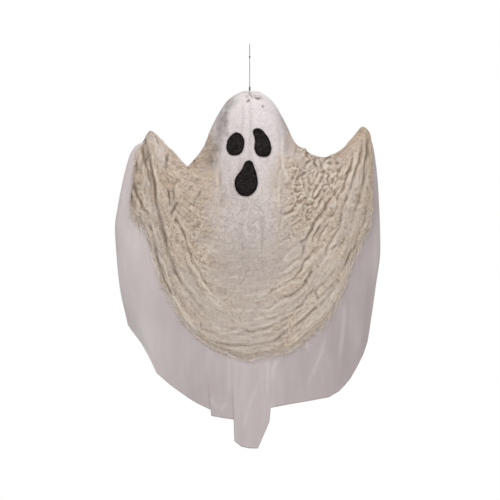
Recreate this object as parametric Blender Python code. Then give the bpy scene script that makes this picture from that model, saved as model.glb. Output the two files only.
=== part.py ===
import bpy
import numpy as np
from math import pi, sin, cos
from mathutils import Vector
from mathutils.bvhtree import BVHTree

for old in list(bpy.data.objects):
    bpy.data.objects.remove(old, do_unlink=True)

# Driving sizes in metres. The hanging point, the top of the cord's loop, is the origin;
# the ghost hangs down from it, faces -Y and has its right-hand side (in the picture) at +X.
BALL_RADIUS = 0.050
BORE_RADIUS = 0.0018
CORD_LENGTH = 0.0805
CORD_RADIUS = 0.00055
LOOP_HEIGHT = 0.020
LOOP_HALF_WIDTH = 0.0036
WIRE_RADIUS = 0.0009
EYE_RADIUS = 0.0030
RIGHT_REACH = 0.1920
LEFT_REACH = 0.1690
RIGHT_SPREAD = 0.0300
LEFT_SPREAD = 0.0600
RIGHT_HAND_DROP = 0.0094
LEFT_HAND_DROP = 0.0165
HEM_DROP = 0.505
BELLY = 0.012
SHEET = 0.0005
SLIP = 0.0009
PLEAT = 0.0046
EASE = 0.0015
PANEL = 0.0030
FELT = 0.0012
THREAD_RADIUS = 0.0004

# Sizes that follow from the driving ones
VOILE_RADIUS = BALL_RADIUS + SLIP + SHEET
GAUZE_LIFT = SLIP + SHEET
CROWN_RADIUS = VOILE_RADIUS + GAUZE_LIFT
CENTRE_Z = -CORD_LENGTH - CROWN_RADIUS
EQUATOR = 0.138
LEAVE = EQUATOR * 2.0 / 3.0
COVERED = 9
BLACK = (0.02, 0.02, 0.022)
FRONT_SPOKES = (-0.335, -0.31, -0.165, -0.125, -0.06, 0.07, 0.150, 0.185)

# Top edge of the drape in front view, as (ring, out, down): the neck in ball radii, the arm
# as shares of the way from the dip to the hand, the side as shares of the spread and the drop.
RIGHT_NECK = ((0.138, 1.122, -0.01), (0.20, 1.469, 0.716), (0.25, 1.898, 1.063), (0.31, 2.442, 1.221))
RIGHT_ARM = ((0.38, 0.459, 0.248), (0.45, 0.816, 0.724), (0.495, 1.0, 1.0))
RIGHT_SIDE = ((0.51, 0.132, 0.006), (0.56, 0.477, 0.063), (0.62, 0.707, 0.161), (0.70, 0.885, 0.309),
              (0.80, 1.0, 0.586), (0.90, 0.736, 0.793), (1.0, 0.42, 1.0))
LEFT_NECK = ((0.138, 1.139, -0.01), (0.20, 1.485, 0.848), (0.25, 1.799, 1.277), (0.285, 2.069, 1.535))
LEFT_ARM = ((0.36, 0.4135, 0.429), (0.42, 0.724, 0.742), (0.48, 1.0, 1.0))
LEFT_SIDE = ((0.50, 0.095, 0.013), (0.54, 0.309, 0.0545), (0.58, 0.524, 0.0987), (0.64, 0.725, 0.210),
             (0.72, 0.926, 0.387), (0.77, 1.0, 0.491), (0.85, 0.94, 0.678), (0.92, 0.854, 0.823),
             (1.0, 0.639, 1.0))

# Front hem of the voile as (share of the half width, share of the drop), with the step at
# the left and the tail of the middle panel.
VOILE_HEM = ((-1.0, 0.680), (-0.965, 0.7005), (-0.89, 0.741), (-0.834, 0.781), (-0.76, 0.842),
             (-0.645, 0.882), (-0.506, 0.9226), (-0.424, 0.943), (-0.335, 0.962), (-0.31, 0.985),
             (-0.165, 0.996), (-0.125, 1.065), (-0.061, 1.087), (0.002, 1.096), (0.068, 1.091),
             (0.150, 1.008), (0.185, 0.955), (0.36, 0.943), (0.658, 0.9226), (0.741, 0.9025),
             (0.79, 0.882), (0.832, 0.862), (0.89, 0.8215), (0.94, 0.781), (0.98, 0.741), (1.0, 0.7005))

# Share of the drop at which the back hem of the voile hangs in the middle
BACK_HEM = 0.94

# Ring at which the gauze ends, against the share of the way from the arm to the middle
RIGHT_GAUZE = ((0.0, 0.53), (0.06, 0.55), (0.138, 0.60), (0.212, 0.692), (0.26, 0.712), (0.345, 0.703),
               (0.41, 0.706), (0.50, 0.737), (0.60, 0.762), (0.71, 0.784), (0.79, 0.805), (1.0, 0.828))
LEFT_GAUZE = ((0.0, 0.512), (0.057, 0.522), (0.094, 0.54), (0.20, 0.60), (0.24, 0.656), (0.287, 0.664),
              (0.372, 0.654), (0.474, 0.682), (0.555, 0.725), (0.606, 0.745), (0.71, 0.784), (1.0, 0.828))
BACK_GAUZE = ((0.0, 0.52), (0.12, 0.575), (0.30, 0.66), (0.60, 0.745), (1.0, 0.80))


def columns(rows):
    return np.array(rows, float).T


def smooth_through(at, nodes, values):
    """Curve through the nodes with flat tangents at the turning points, so it never overshoots."""
    step = np.diff(nodes)
    slope = np.diff(values) / step
    left, right = slope[:-1], slope[1:]
    wide_left, wide_right = 2 * step[1:] + step[:-1], step[1:] + 2 * step[:-1]
    turning = left * right <= 0
    safe_left, safe_right = np.where(turning, 1.0, left), np.where(turning, 1.0, right)
    middle = (wide_left + wide_right) / (wide_left / safe_left + wide_right / safe_right)
    tangent = np.concatenate(([slope[0]], np.where(turning, 0.0, middle), [slope[-1]]))
    cell = np.clip(np.searchsorted(nodes, at, side="right") - 1, 0, len(nodes) - 2)
    h = step[cell]
    t = np.clip((at - nodes[cell]) / h, 0.0, 1.0)
    return ((2 * t**3 - 3 * t**2 + 1) * values[cell] + (t**3 - 2 * t**2 + t) * h * tangent[cell]
            + (3 * t**2 - 2 * t**3) * values[cell + 1] + (t**3 - t**2) * h * tangent[cell + 1])


def ease(value, start, end):
    t = np.clip((value - start) / (end - start), 0.0, 1.0)
    return t * t * (3 - 2 * t)


def edge_nodes(neck, arm, side, reach, hand_drop, spread, end_drop):
    """Node lists (ring, x, z from the ball's centre) of one side of the front-view outline."""
    ring, out, down = columns(neck)
    neck_x, neck_z = out * VOILE_RADIUS, -down * VOILE_RADIUS
    dip_x, dip_z = neck_x[-1], neck_z[-1]
    arm_ring, along, up = columns(arm)
    arm_x, arm_z = dip_x + (reach - dip_x) * along, dip_z + (-hand_drop - dip_z) * up
    side_ring, away, fall = columns(side)
    side_x, side_z = reach + spread * away, -hand_drop - (end_drop - hand_drop) * fall
    lead = np.array([0.8 * LEAVE, LEAVE])
    turn = lead / EQUATOR * pi / 2
    return (np.concatenate([lead, ring, arm_ring, side_ring]),
            np.concatenate([VOILE_RADIUS * np.sin(turn), neck_x, arm_x, side_x]),
            np.concatenate([VOILE_RADIUS * np.cos(turn), neck_z, arm_z, side_z]))


RIGHT_EDGE = edge_nodes(RIGHT_NECK, RIGHT_ARM, RIGHT_SIDE, RIGHT_REACH, RIGHT_HAND_DROP, RIGHT_SPREAD,
                        VOILE_HEM[-1][1] * HEM_DROP)
LEFT_EDGE = edge_nodes(LEFT_NECK, LEFT_ARM, LEFT_SIDE, LEFT_REACH, LEFT_HAND_DROP, LEFT_SPREAD,
                       VOILE_HEM[0][1] * HEM_DROP)


def edge_point(ring, edge):
    turn = np.minimum(ring / EQUATOR, 1.0) * pi / 2
    on_ball = ring < LEAVE
    x = np.where(on_ball, VOILE_RADIUS * np.sin(turn), smooth_through(ring, edge[0], edge[1]))
    z = np.where(on_ball, VOILE_RADIUS * np.cos(turn), smooth_through(ring, edge[0], edge[2]))
    return x, z


def drape(ring, angle):
    """Point of the draped form: ring runs from the crown (0) to the voile's hem (1) and angle
    goes round, 0 at the right arm, -90 degrees at the front. Each ring hangs as a swag
    between the two side edges: x follows the cosine, z rises with a power of it."""
    c, s = np.cos(angle), np.sin(angle)
    right_x, right_z = edge_point(ring, RIGHT_EDGE)
    left_x, left_z = edge_point(ring, LEFT_EDGE)
    blend = ease(c, -0.3, 0.3)
    half = left_x + (right_x - left_x) * blend
    side_z = np.where(c >= 0, right_z, left_z)
    share = (ring - EQUATOR) / (1 - EQUATOR)
    turn = np.minimum(ring / EQUATOR, 1.0) * pi / 2
    middle_z = np.where(share < 0, VOILE_RADIUS * np.cos(turn), -HEM_DROP * share)
    depth = np.where(share < 0, VOILE_RADIUS * np.sin(turn),
                     VOILE_RADIUS + BELLY * np.sin(np.clip(share, 0, 1) * 0.8 * pi))
    low_steep = 3.0 * ease(c, -0.1, 0.5) - 0.3
    steep = 2.0 + 0.6 * ease(ring, 0.1, 0.6) + low_steep * ease(ring, 0.6, 1.0)
    thin = 1.0 + 0.18 * ease(ring, 0.1, 0.45) - 0.08 * ease(ring, 0.6, 1.0)
    x = half * c
    y = np.sign(s) * depth * np.abs(s)**thin
    z = middle_z + (side_z - middle_z) * np.abs(c)**steep
    hem_c, hem_share = columns(VOILE_HEM)
    end_share = np.where(c >= 0, VOILE_HEM[-1][1], VOILE_HEM[0][1])
    rise = np.abs(c)**(2.6 + low_steep)
    plain = -HEM_DROP + HEM_DROP * (1 - end_share) * rise
    front_hem = -HEM_DROP * np.interp(c, hem_c, hem_share)
    back_hem = -HEM_DROP * (BACK_HEM - (BACK_HEM - end_share) * rise)
    front, back = ease(-s, 0.0, 0.12), ease(s, 0.0, 0.12)
    z = z + ((front_hem - plain) * front + (back_hem - plain) * back) * ease(ring, 0.80, 1.0)
    in_panel = ease(c, -0.165, -0.125) * (1 - ease(c, 0.150, 0.185)) * front
    y = y - PANEL * in_panel * ease(ring, 0.55, 0.85)
    flute = 0.5 + 0.5 * np.cos(10 * angle + 1.4 * np.sin(2 * angle))
    y = y + np.sign(s) * BELLY * 0.45 * flute * np.abs(s) * ease(ring, 0.45, 1.0) * (1 - in_panel)
    return np.stack([x, y, z + CENTRE_Z], axis=-1)


def row_normals(points):
    """Outward direction at each point of a grid whose rows go round the drape."""
    along = np.concatenate([points[1:2] - points[:1], points[2:] - points[:-2], points[-1:] - points[-2:-1]])
    across = np.roll(points, -1, axis=1) - np.roll(points, 1, axis=1)
    normal = np.cross(along, across)
    return normal / np.linalg.norm(normal, axis=-1, keepdims=True)


def spokes():
    even = np.linspace(-pi, pi, 44, endpoint=False)
    even = even - 0.225 * np.sin(2 * even)
    extra = -np.arccos(np.array(FRONT_SPOKES))
    keep = np.min(np.abs(even[:, None] - extra[None, :]), axis=1) > 0.035
    return np.sort(np.concatenate([even[keep], extra]))


def add_object(name, vertices, faces, colour, roughness=0.9, metallic=0.0, smooth=True):
    mesh = bpy.data.meshes.new(name)
    mesh.from_pydata([tuple(map(float, v)) for v in vertices], [], [tuple(map(int, f)) for f in faces])
    mesh.polygons.foreach_set("use_smooth", [smooth] * len(mesh.polygons))
    mesh.update()
    made = bpy.data.objects.new(name, mesh)
    bpy.context.scene.collection.objects.link(made)
    paint(made, colour, roughness, metallic)
    return made


def paint(made, colour, roughness, metallic=0.0):
    material = bpy.data.materials.new(made.name)
    material.use_nodes = True
    shader = material.node_tree.nodes["Principled BSDF"]
    shader.inputs["Base Color"].default_value = (*colour, 1.0)
    shader.inputs["Roughness"].default_value = roughness
    shader.inputs["Metallic"].default_value = metallic
    made.data.materials.append(material)


def strip_faces(first, second, flip, short=None):
    """Triangles between two closed rows of vertex numbers, cut along the diagonals from the
    first row where short is true (everywhere when it isn't given)."""
    faces = []
    count = len(first)
    for j in range(count):
        a, b, c, d = first[j], second[j], second[(j + 1) % count], first[(j + 1) % count]
        pair = [(a, b, c), (a, c, d)] if short is None or short[j] else [(a, b, d), (b, c, d)]
        faces += [face[::-1] for face in pair] if flip else pair
    return faces


def short_diagonals(points):
    beside = np.roll(points, -1, axis=1)
    return (np.linalg.norm(beside[1:] - points[:-1], axis=-1)
            <= np.linalg.norm(points[1:] - beside[:-1], axis=-1))


def shell(name, outer, short, colour):
    """Closed sheet under a grid of points whose rows go round the drape."""
    inner = outer - SHEET * row_normals(outer)
    rows, count = outer.shape[:2]
    number = np.arange(2 * rows * count).reshape(2, rows, count)
    faces = []
    for k in range(rows - 1):
        faces += strip_faces(number[0, k], number[0, k + 1], False, short[k])
        faces += strip_faces(number[1, k], number[1, k + 1], True, short[k])
    faces += strip_faces(number[0, 0], number[1, 0], True)
    faces += strip_faces(number[0, -1], number[1, -1], False)
    vertices = np.concatenate([outer.reshape(-1, 3), inner.reshape(-1, 3)])
    return add_object(name, vertices, faces, colour)


def crown_rings():
    first = 2.6 * CORD_RADIUS / VOILE_RADIUS / (pi / 2) * EQUATOR
    return np.concatenate([[first], np.linspace(0, EQUATOR, 8)[1:]])


def gauze_end(angle):
    share = np.arcsin(np.clip(np.abs(np.sin(angle)), 0, 1)) / (pi / 2)
    ends = []
    for table in (RIGHT_GAUZE, LEFT_GAUZE, BACK_GAUZE):
        nodes, values = columns(table)
        ends.append(smooth_through(share, nodes, values))
    front = np.where(np.cos(angle) >= 0, ends[0], ends[1])
    return front + (ends[2] - front) * ease(np.sin(angle), -0.05, 0.25)


def covered_rings(angle):
    """Rings under the gauze at each angle: circles on the crown, then swags that draw
    together towards the two hands, the last of them the gauze's hem."""
    crown = crown_rings()
    way = np.linspace(0, 1, COVERED + 1)[1:, None]
    gather = 1.0 + 0.11 * np.cos(angle)**4
    swags = EQUATOR + (gauze_end(angle) - EQUATOR) * (1 - (1 - way)**gather)
    return np.concatenate([crown[:, None] + 0 * swags[:1], swags])


def voile_points(angle):
    """Outer points of the voile, row by row from the crown, and the number of covered rows."""
    covered = covered_rings(angle)
    bare = np.array([0.05, 0.14, 0.28, 0.46, 0.66, 0.83, 1.0])[:, None]
    ring = np.concatenate([covered, covered[-1] + (1 - covered[-1]) * bare])
    return drape(ring, angle + 0 * ring), len(covered)


def pleat_lift(rows, angle):
    """Height of each pleat crest: none over the face, less where the pleats draw together."""
    room = np.linalg.norm(rows[1:] - rows[:-1], axis=-1) / 2
    way = (np.arange(len(room)) + 0.5) / len(room)
    side = ease(np.abs(np.cos(angle)), 0.25, 0.6)
    fade = ease(way[:, None], 0.42 - 0.30 * side, 0.60 - 0.30 * side)
    ridge = 1 - ease(np.abs(np.cos(angle)), 0.65, 0.93)
    return np.maximum(np.minimum(PLEAT, 0.38 * room) * fade * ridge, 0.25 * PLEAT * side)


def build_drapes():
    """The voile, and the gauze whose troughs follow the voile's rows with crests between them."""
    angle = spokes()
    voile, covered = voile_points(angle)
    short = short_diagonals(voile)
    shell("voile_drape", voile, short, (0.62, 0.57, 0.58))
    first = len(crown_rings()) - 1
    lift = GAUZE_LIFT + EASE * ease(np.arange(covered), first - 1, first + 2)[:, None, None]
    trough = voile[:covered] + lift * row_normals(voile)[:covered]
    crest = (trough[first:-1] + trough[first + 1:]) / 2
    crest = crest + pleat_lift(trough[first:], angle)[..., None] * row_normals(crest)
    gauze = np.empty((covered + len(crest), len(angle), 3))
    gauze[:first] = trough[:first]
    gauze[first::2] = trough[first:]
    gauze[first + 1::2] = crest
    short = np.concatenate([short[:first], np.repeat(short[first:covered - 1], 2, axis=0)])
    return shell("gauze_drape", gauze, short, (0.60, 0.50, 0.42))


def lathe(name, profile, sides, colour, roughness=0.9, centre=(0.0, 0.0)):
    """Closed body turned from a closed outline of (radius, z) points, listed clockwise."""
    count = len(profile)
    vertices, faces = [], []
    for k in range(sides):
        turn = 2 * pi * k / sides
        vertices += [(centre[0] + r * cos(turn), centre[1] + r * sin(turn), z) for r, z in profile]
    number = np.arange(sides * count).reshape(sides, count)
    for i in range(count):
        faces += strip_faces(number[:, i], number[:, (i + 1) % count], False)
    return add_object(name, vertices, faces, colour, roughness)


def ring_profile(inner, outer, low, high, steps=5):
    """Outline of a collar: a straight bore and a rounded outside."""
    middle, half = (low + high) / 2, (high - low) / 2
    start = inner + 0.25 * (outer - inner)
    around = [pi / 2 - pi * k / steps for k in range(steps + 1)]
    return [(inner, high)] + [(start + (outer - start) * cos(t), middle + half * sin(t)) for t in around] \
        + [(inner, low)]


def build_ball():
    first = np.arcsin(BORE_RADIUS / BALL_RADIUS)
    turns = np.linspace(first, pi - first, 13)
    profile = [(BALL_RADIUS * sin(t), CENTRE_Z + BALL_RADIUS * cos(t)) for t in turns]
    lathe("head_ball", profile, 24, (0.80, 0.79, 0.76), 0.8)


def tube(name, points, radius, sides, colour, roughness=0.7, metallic=0.0, closed=False):
    """Round bar swept along the points, with the frame carried on from point to point."""
    path = [Vector(p) for p in points]
    count = len(path)
    vertices, faces = [], []
    up = None
    for i, point in enumerate(path):
        ahead = path[(i + 1) % count] if closed or i < count - 1 else path[i]
        behind = path[i - 1] if closed or i > 0 else path[i]
        along = (ahead - behind).normalized()
        if up is None:
            up = along.orthogonal().normalized()
        up = (up - along * up.dot(along)).normalized()
        side = along.cross(up)
        for k in range(sides):
            turn = 2 * pi * k / sides
            vertices.append(point + radius * (cos(turn) * up + sin(turn) * side))
    number = np.arange(count * sides).reshape(count, sides)
    for i in range(count - 1):
        faces += strip_faces(number[i], number[i + 1], True)
    if closed:
        faces += strip_faces(number[-1], number[0], True)
    else:
        vertices += [path[0], path[-1]]
        start, end = count * sides, count * sides + 1
        for k in range(sides):
            after = (k + 1) % sides
            faces += [(number[0, k], start, number[0, after]), (number[-1, after], end, number[-1, k])]
    return add_object(name, vertices, faces, colour, roughness, metallic)


def arm_line(edge, first, last, count):
    """Wire points just under the top edge of one arm, from the dip to the hand."""
    ring = np.linspace(first, last, count)
    x, z = edge_point(ring, edge)
    before_x, before_z = edge_point(ring - 0.01, edge)
    after_x, after_z = edge_point(ring + 0.01, edge)
    along = np.stack([after_x - before_x, after_z - before_z])
    along = along / np.linalg.norm(along, axis=0)
    inset = SHEET + 1.6 * SLIP + WIRE_RADIUS
    return [(a + inset * dz, b - inset * dx) for a, b, dx, dz in zip(x, z, *along)]


def hand_curl(last, before, curl, turn_back):
    """Open eye turned at the end of the wire, inside the hand."""
    last, before = np.array(last), np.array(before)
    along = (last - before) / np.linalg.norm(last - before)
    across = turn_back * np.array([-along[1], along[0]])
    centre = last + curl * across
    turns = np.linspace(0.0, 1.62 * pi, 12)[1:]
    return [centre - curl * across * cos(t) + curl * along * sin(t) for t in turns]


def build_wire():
    """One wire: an eye round the cord under the ball, an arm each way and a curl in each hand."""
    eye_z = -BALL_RADIUS - 0.4 * SLIP - 2.2 * WIRE_RADIUS
    curl = 2.4 * WIRE_RADIUS
    right = arm_line(RIGHT_EDGE, 0.31, 0.455, 9)
    left = arm_line(LEFT_EDGE, 0.285, 0.43, 8)
    left = [(-x, z) for x, z in left]
    right += hand_curl(right[-1], right[-2], curl, -1)
    left += hand_curl(left[-1], left[-2], curl, 1)
    drop = 1.45 * WIRE_RADIUS
    turns = np.linspace(-pi / 2, 1.5 * pi, 17)
    falls = np.linspace(eye_z + drop, eye_z - drop, 17)
    eye = [(EYE_RADIUS * cos(t), EYE_RADIUS * sin(t), z) for t, z in zip(turns, falls)]
    points = [(x, 0.0, z) for x, z in reversed(left)]
    points += bridge(points[-1], points[-2], eye[0], 8) + eye
    middle = [(x, 0.0, z) for x, z in right]
    points += list(reversed(bridge(middle[0], middle[1], eye[-1], 8))) + middle
    tube("arm_wire", [(x, y, z + CENTRE_Z) for x, y, z in points], WIRE_RADIUS, 6,
         (0.35, 0.35, 0.36), 0.35, 1.0)


def bridge(start, before, end, count):
    """Smooth run of the wire from an arm to the eye, leaving level at the eye."""
    start, before, end = np.array(start), np.array(before), np.array(end)
    span = abs(end[0] - start[0])
    leaving = (start - before) / np.linalg.norm(start - before) * span * 0.9
    arriving = np.array([np.sign(end[0] - start[0]), 0.0, 0.0]) * span * 0.9
    run = []
    for t in np.linspace(0.0, 1.0, count + 2)[1:-1]:
        run.append(tuple((2 * t**3 - 3 * t**2 + 1) * start + (t**3 - 2 * t**2 + t) * leaving
                         + (3 * t**2 - 2 * t**3) * end + (t**3 - t**2) * arriving))
    return run


def cord(name, points, closed=False):
    """Length of the black cord: a round curve with closed ends."""
    curve = bpy.data.curves.new(name, "CURVE")
    curve.dimensions = "3D"
    curve.bevel_depth = CORD_RADIUS
    curve.bevel_resolution = 2
    curve.use_fill_caps = not closed
    line = curve.splines.new("POLY")
    line.points.add(len(points) - 1)
    for spot, place in zip(line.points, points):
        spot.co = (*place, 1.0)
    line.use_cyclic_u = closed
    made = bpy.data.objects.new(name, curve)
    bpy.context.scene.collection.objects.link(made)
    paint(made, BLACK, 0.8)


def build_cord():
    """Cord through the ball, its knots and the loop it hangs by."""
    eye_low = CENTRE_Z - BALL_RADIUS - 0.4 * SLIP - 4.7 * WIRE_RADIUS
    knot = 1.15 * EYE_RADIUS
    fit = CORD_RADIUS + 0.0003
    loop_low = -LOOP_HEIGHT
    knot_top = loop_low - 0.0004
    knot_low = knot_top - 0.0030
    low, high = eye_low - 0.6 * knot, knot_top - 0.0002
    count = int((high - low) / (6 * CORD_RADIUS))
    cord("hang_cord", [(0.0, 0.0, z) for z in np.linspace(low, high, count)])
    lathe("lower_knot", ring_profile(fit, knot, eye_low - 1.5 * knot, eye_low - 0.0001), 10, BLACK)
    crown = -CORD_LENGTH + 0.0004
    lathe("crown_knot", ring_profile(fit, 3.6 * CORD_RADIUS, crown, crown + 0.0062), 10, BLACK)
    lathe("loop_knot", ring_profile(fit, 2.4 * CORD_RADIUS, knot_low, knot_top), 10, BLACK)
    centre, half = loop_low / 2, LOOP_HEIGHT / 2 - CORD_RADIUS
    turns = np.linspace(0, 2 * pi, 20, endpoint=False)
    loop = [(0.0, LOOP_HALF_WIDTH * sin(t), centre + half * cos(t)) for t in turns]
    cord("hang_loop", loop, closed=True)


# Face outlines in ball radii from the ball's centre: points clockwise round each patch,
# joined by a smooth closed curve.
LEFT_EYE = ((-0.41, -0.35), (-0.22, -0.55), (-0.165, -0.80), (-0.27, -1.05), (-0.53, -1.13),
            (-0.72, -0.99), (-0.765, -0.75), (-0.63, -0.47))
RIGHT_EYE = ((0.24, -0.205), (0.39, -0.27), (0.56, -0.51), (0.72, -0.83), (0.65, -1.06), (0.43, -1.17),
             (0.25, -1.11), (0.155, -0.90), (0.17, -0.66), (0.10, -0.48), (0.095, -0.325))
MOUTH = ((-0.06, -1.28), (0.11, -1.42), (0.24, -1.72), (0.28, -2.03), (0.17, -2.35), (-0.11, -2.46),
         (-0.40, -2.33), (-0.49, -2.05), (-0.37, -1.80), (-0.23, -1.53))


def closed_curve(points, count):
    """Smooth closed curve: each point is weighted by the closed Catmull-Rom cubic."""
    nodes = np.array(points, float)
    total = len(nodes)
    out = []
    for k in range(count):
        place = k * total / count
        i, t = int(place), place - int(place)
        a, b, c, d = (nodes[(i + n) % total] for n in (-1, 0, 1, 2))
        out.append(0.5 * (2 * b + (c - a) * t + (2 * a - 5 * b + 4 * c - d) * t**2
                          + (3 * b - a - 3 * c + d) * t**3))
    return np.array(out)


def surface_tree(cloth):
    vertices = [v.co.copy() for v in cloth.data.vertices]
    return BVHTree.FromPolygons(vertices, [tuple(p.vertices) for p in cloth.data.polygons])


def lay_on(tree, x, z, away):
    hit = tree.ray_cast(Vector((x, -1.0, z)), Vector((0, 1, 0)))[0]
    return (x, hit.y - away, z)


def build_patch(name, tree, outline):
    """Felt patch laid on the front of the gauze: rings of points inside its outline."""
    curve = closed_curve(outline, 22) * VOILE_RADIUS
    middle = curve.mean(axis=0)
    rings = [middle + (curve - middle) * share for share in (1.0, 0.90, 0.5)]
    depths = (0.45, 1.0, 1.0)
    gap = 0.0007
    back, front = [], []
    for ring, depth in zip(rings, depths):
        back.append([lay_on(tree, x, z + CENTRE_Z, gap) for x, z in ring])
        front.append([lay_on(tree, x, z + CENTRE_Z, gap + FELT * depth) for x, z in ring])
    vertices = np.array(front + back).reshape(-1, 3).tolist()
    vertices += [lay_on(tree, middle[0], middle[1] + CENTRE_Z, gap + FELT),
                 lay_on(tree, middle[0], middle[1] + CENTRE_Z, gap)]
    count = len(curve)
    number = np.arange(6 * count).reshape(6, count)
    faces = strip_faces(number[0], number[1], False) + strip_faces(number[1], number[2], False)
    faces += strip_faces(number[3], number[4], True) + strip_faces(number[4], number[5], True)
    faces += strip_faces(number[3], number[0], False)
    for k in range(count):
        after = (k + 1) % count
        faces.append((number[2, k], 6 * count, number[2, after]))
        faces.append((number[5, after], 6 * count + 1, number[5, k]))
    add_object(name, vertices, faces, (0.020, 0.016, 0.014), 1.0)


def build_thread(name, tree, path, way, clear):
    """Black sewing thread laid on the gauze, against way, along a path of (ring, angle) points."""
    ring, angle = columns(path)
    way = Vector(way).normalized()
    points = []
    for place in drape(ring, angle):
        hit = tree.ray_cast(Vector(place) + 0.03 * way, -way)[0]
        points.append(hit + way * (THREAD_RADIUS + clear))
    tube(name, points, THREAD_RADIUS, 5, (0.05, 0.045, 0.045), 0.9)


def zigzag(ring, angle, ring_step, angle_step, count):
    """Stitch path that swings between two rings, with a point half way along each leg."""
    swing = [0.0, 0.5, 1.0, 0.5]
    return [(ring + ring_step * swing[k % 4], angle + angle_step * k / 2) for k in range(2 * count - 1)]


def build_threads(tree):
    turns = np.linspace(-2.9, 0.2, 15)
    crown = [(0.026 + 0.007 * (k % 2) + 0.004 * sin(3 * t), t) for k, t in enumerate(turns)]
    build_thread("crown_stitches", tree, crown, (0.0, -0.1, 1.0), 0.0006)
    tack = (0.0, -0.8, 0.6)
    build_thread("left_hand_tack", tree, zigzag(0.455, -pi + 0.16, 0.008, 0.04, 5), tack, 0.0008)
    build_thread("left_neck_tack", tree, zigzag(0.250, -pi + 0.18, 0.008, 0.03, 5), tack, 0.0008)
    build_thread("right_neck_tack", tree, zigzag(0.236, -0.16, 0.006, -0.08, 4), tack, 0.0008)
    build_thread("right_dip_tack", tree, zigzag(0.330, -0.16, 0.010, -0.08, 4), tack, 0.0008)


gauze = build_drapes()
build_ball()
build_wire()
build_cord()
gauze_tree = surface_tree(gauze)
build_patch("left_eye", gauze_tree, LEFT_EYE)
build_patch("right_eye", gauze_tree, RIGHT_EYE)
build_patch("mouth", gauze_tree, MOUTH)
build_threads(gauze_tree)
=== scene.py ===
import math
import bpy
import numpy as np
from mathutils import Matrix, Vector


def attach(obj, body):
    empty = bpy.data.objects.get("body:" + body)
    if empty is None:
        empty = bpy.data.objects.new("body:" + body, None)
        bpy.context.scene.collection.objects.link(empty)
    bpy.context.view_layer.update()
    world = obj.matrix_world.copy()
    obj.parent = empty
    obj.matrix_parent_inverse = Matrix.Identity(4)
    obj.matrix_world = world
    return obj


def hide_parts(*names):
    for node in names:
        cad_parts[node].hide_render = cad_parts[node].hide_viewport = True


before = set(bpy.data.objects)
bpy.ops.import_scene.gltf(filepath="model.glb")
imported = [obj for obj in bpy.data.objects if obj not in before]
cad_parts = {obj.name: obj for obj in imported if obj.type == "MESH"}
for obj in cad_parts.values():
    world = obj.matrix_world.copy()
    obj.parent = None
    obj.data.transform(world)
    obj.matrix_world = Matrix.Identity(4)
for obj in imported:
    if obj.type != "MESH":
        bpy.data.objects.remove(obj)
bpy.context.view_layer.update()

pi = math.pi
photo = {"pixel": 0.0017, "cordX": 249.7, "hangY": 44.0, "side": 500, "distance": 8.0}


def fromPhoto(pixels):
    # x runs right from the cord and z down from the hanging point, in metres
    pixels = np.asarray(pixels, float)
    return np.stack([(pixels[..., 0] - photo["cordX"]) * photo["pixel"],
                     (photo["hangY"] - pixels[..., 1]) * photo["pixel"]], axis=-1)


def makeCamera():
    lens = bpy.data.cameras.new("camera")
    camera = bpy.data.objects.new("camera", lens)
    bpy.context.scene.collection.objects.link(camera)
    x, z = fromPhoto((photo["side"] / 2, photo["side"] / 2))
    camera.location = (x, -photo["distance"], z)
    camera.rotation_euler = (pi / 2, 0, 0)
    lens.lens = lens.sensor_width * photo["distance"] / (photo["side"] * photo["pixel"])
    lens.clip_end = 100
    bpy.context.scene.camera = camera


makeCamera()
print("camera made")


# Shader helpers
class Flow:
    # a number on its way through a material: sums and products add Math nodes
    def __init__(self, net, socket):
        self.net, self.socket = net, socket

    def math(self, operation, *others):
        values = {k: v for k, v in enumerate(others)}
        return self.net.node("ShaderNodeMath", {"operation": operation}, values)

    def __add__(self, other):
        return self.math("ADD", self, other)

    def __sub__(self, other):
        return self.math("SUBTRACT", self, other)

    def __rsub__(self, other):
        return self.math("SUBTRACT", other, self)

    def __mul__(self, other):
        return self.math("MULTIPLY", self, other)

    __radd__, __rmul__ = __add__, __mul__

    def band(self, middle, half):
        # 1 at the middle, falling smoothly to 0 at half on both sides
        return self.eased(middle - half, middle) * self.eased(middle + half, middle)

    def eased(self, low, high):
        # 0 up to low and 1 from high on, smooth between them
        limits = {"Value": self, "From Min": low, "From Max": high}
        return self.net.node("ShaderNodeMapRange", {"interpolation_type": "SMOOTHSTEP"}, limits)


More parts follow.
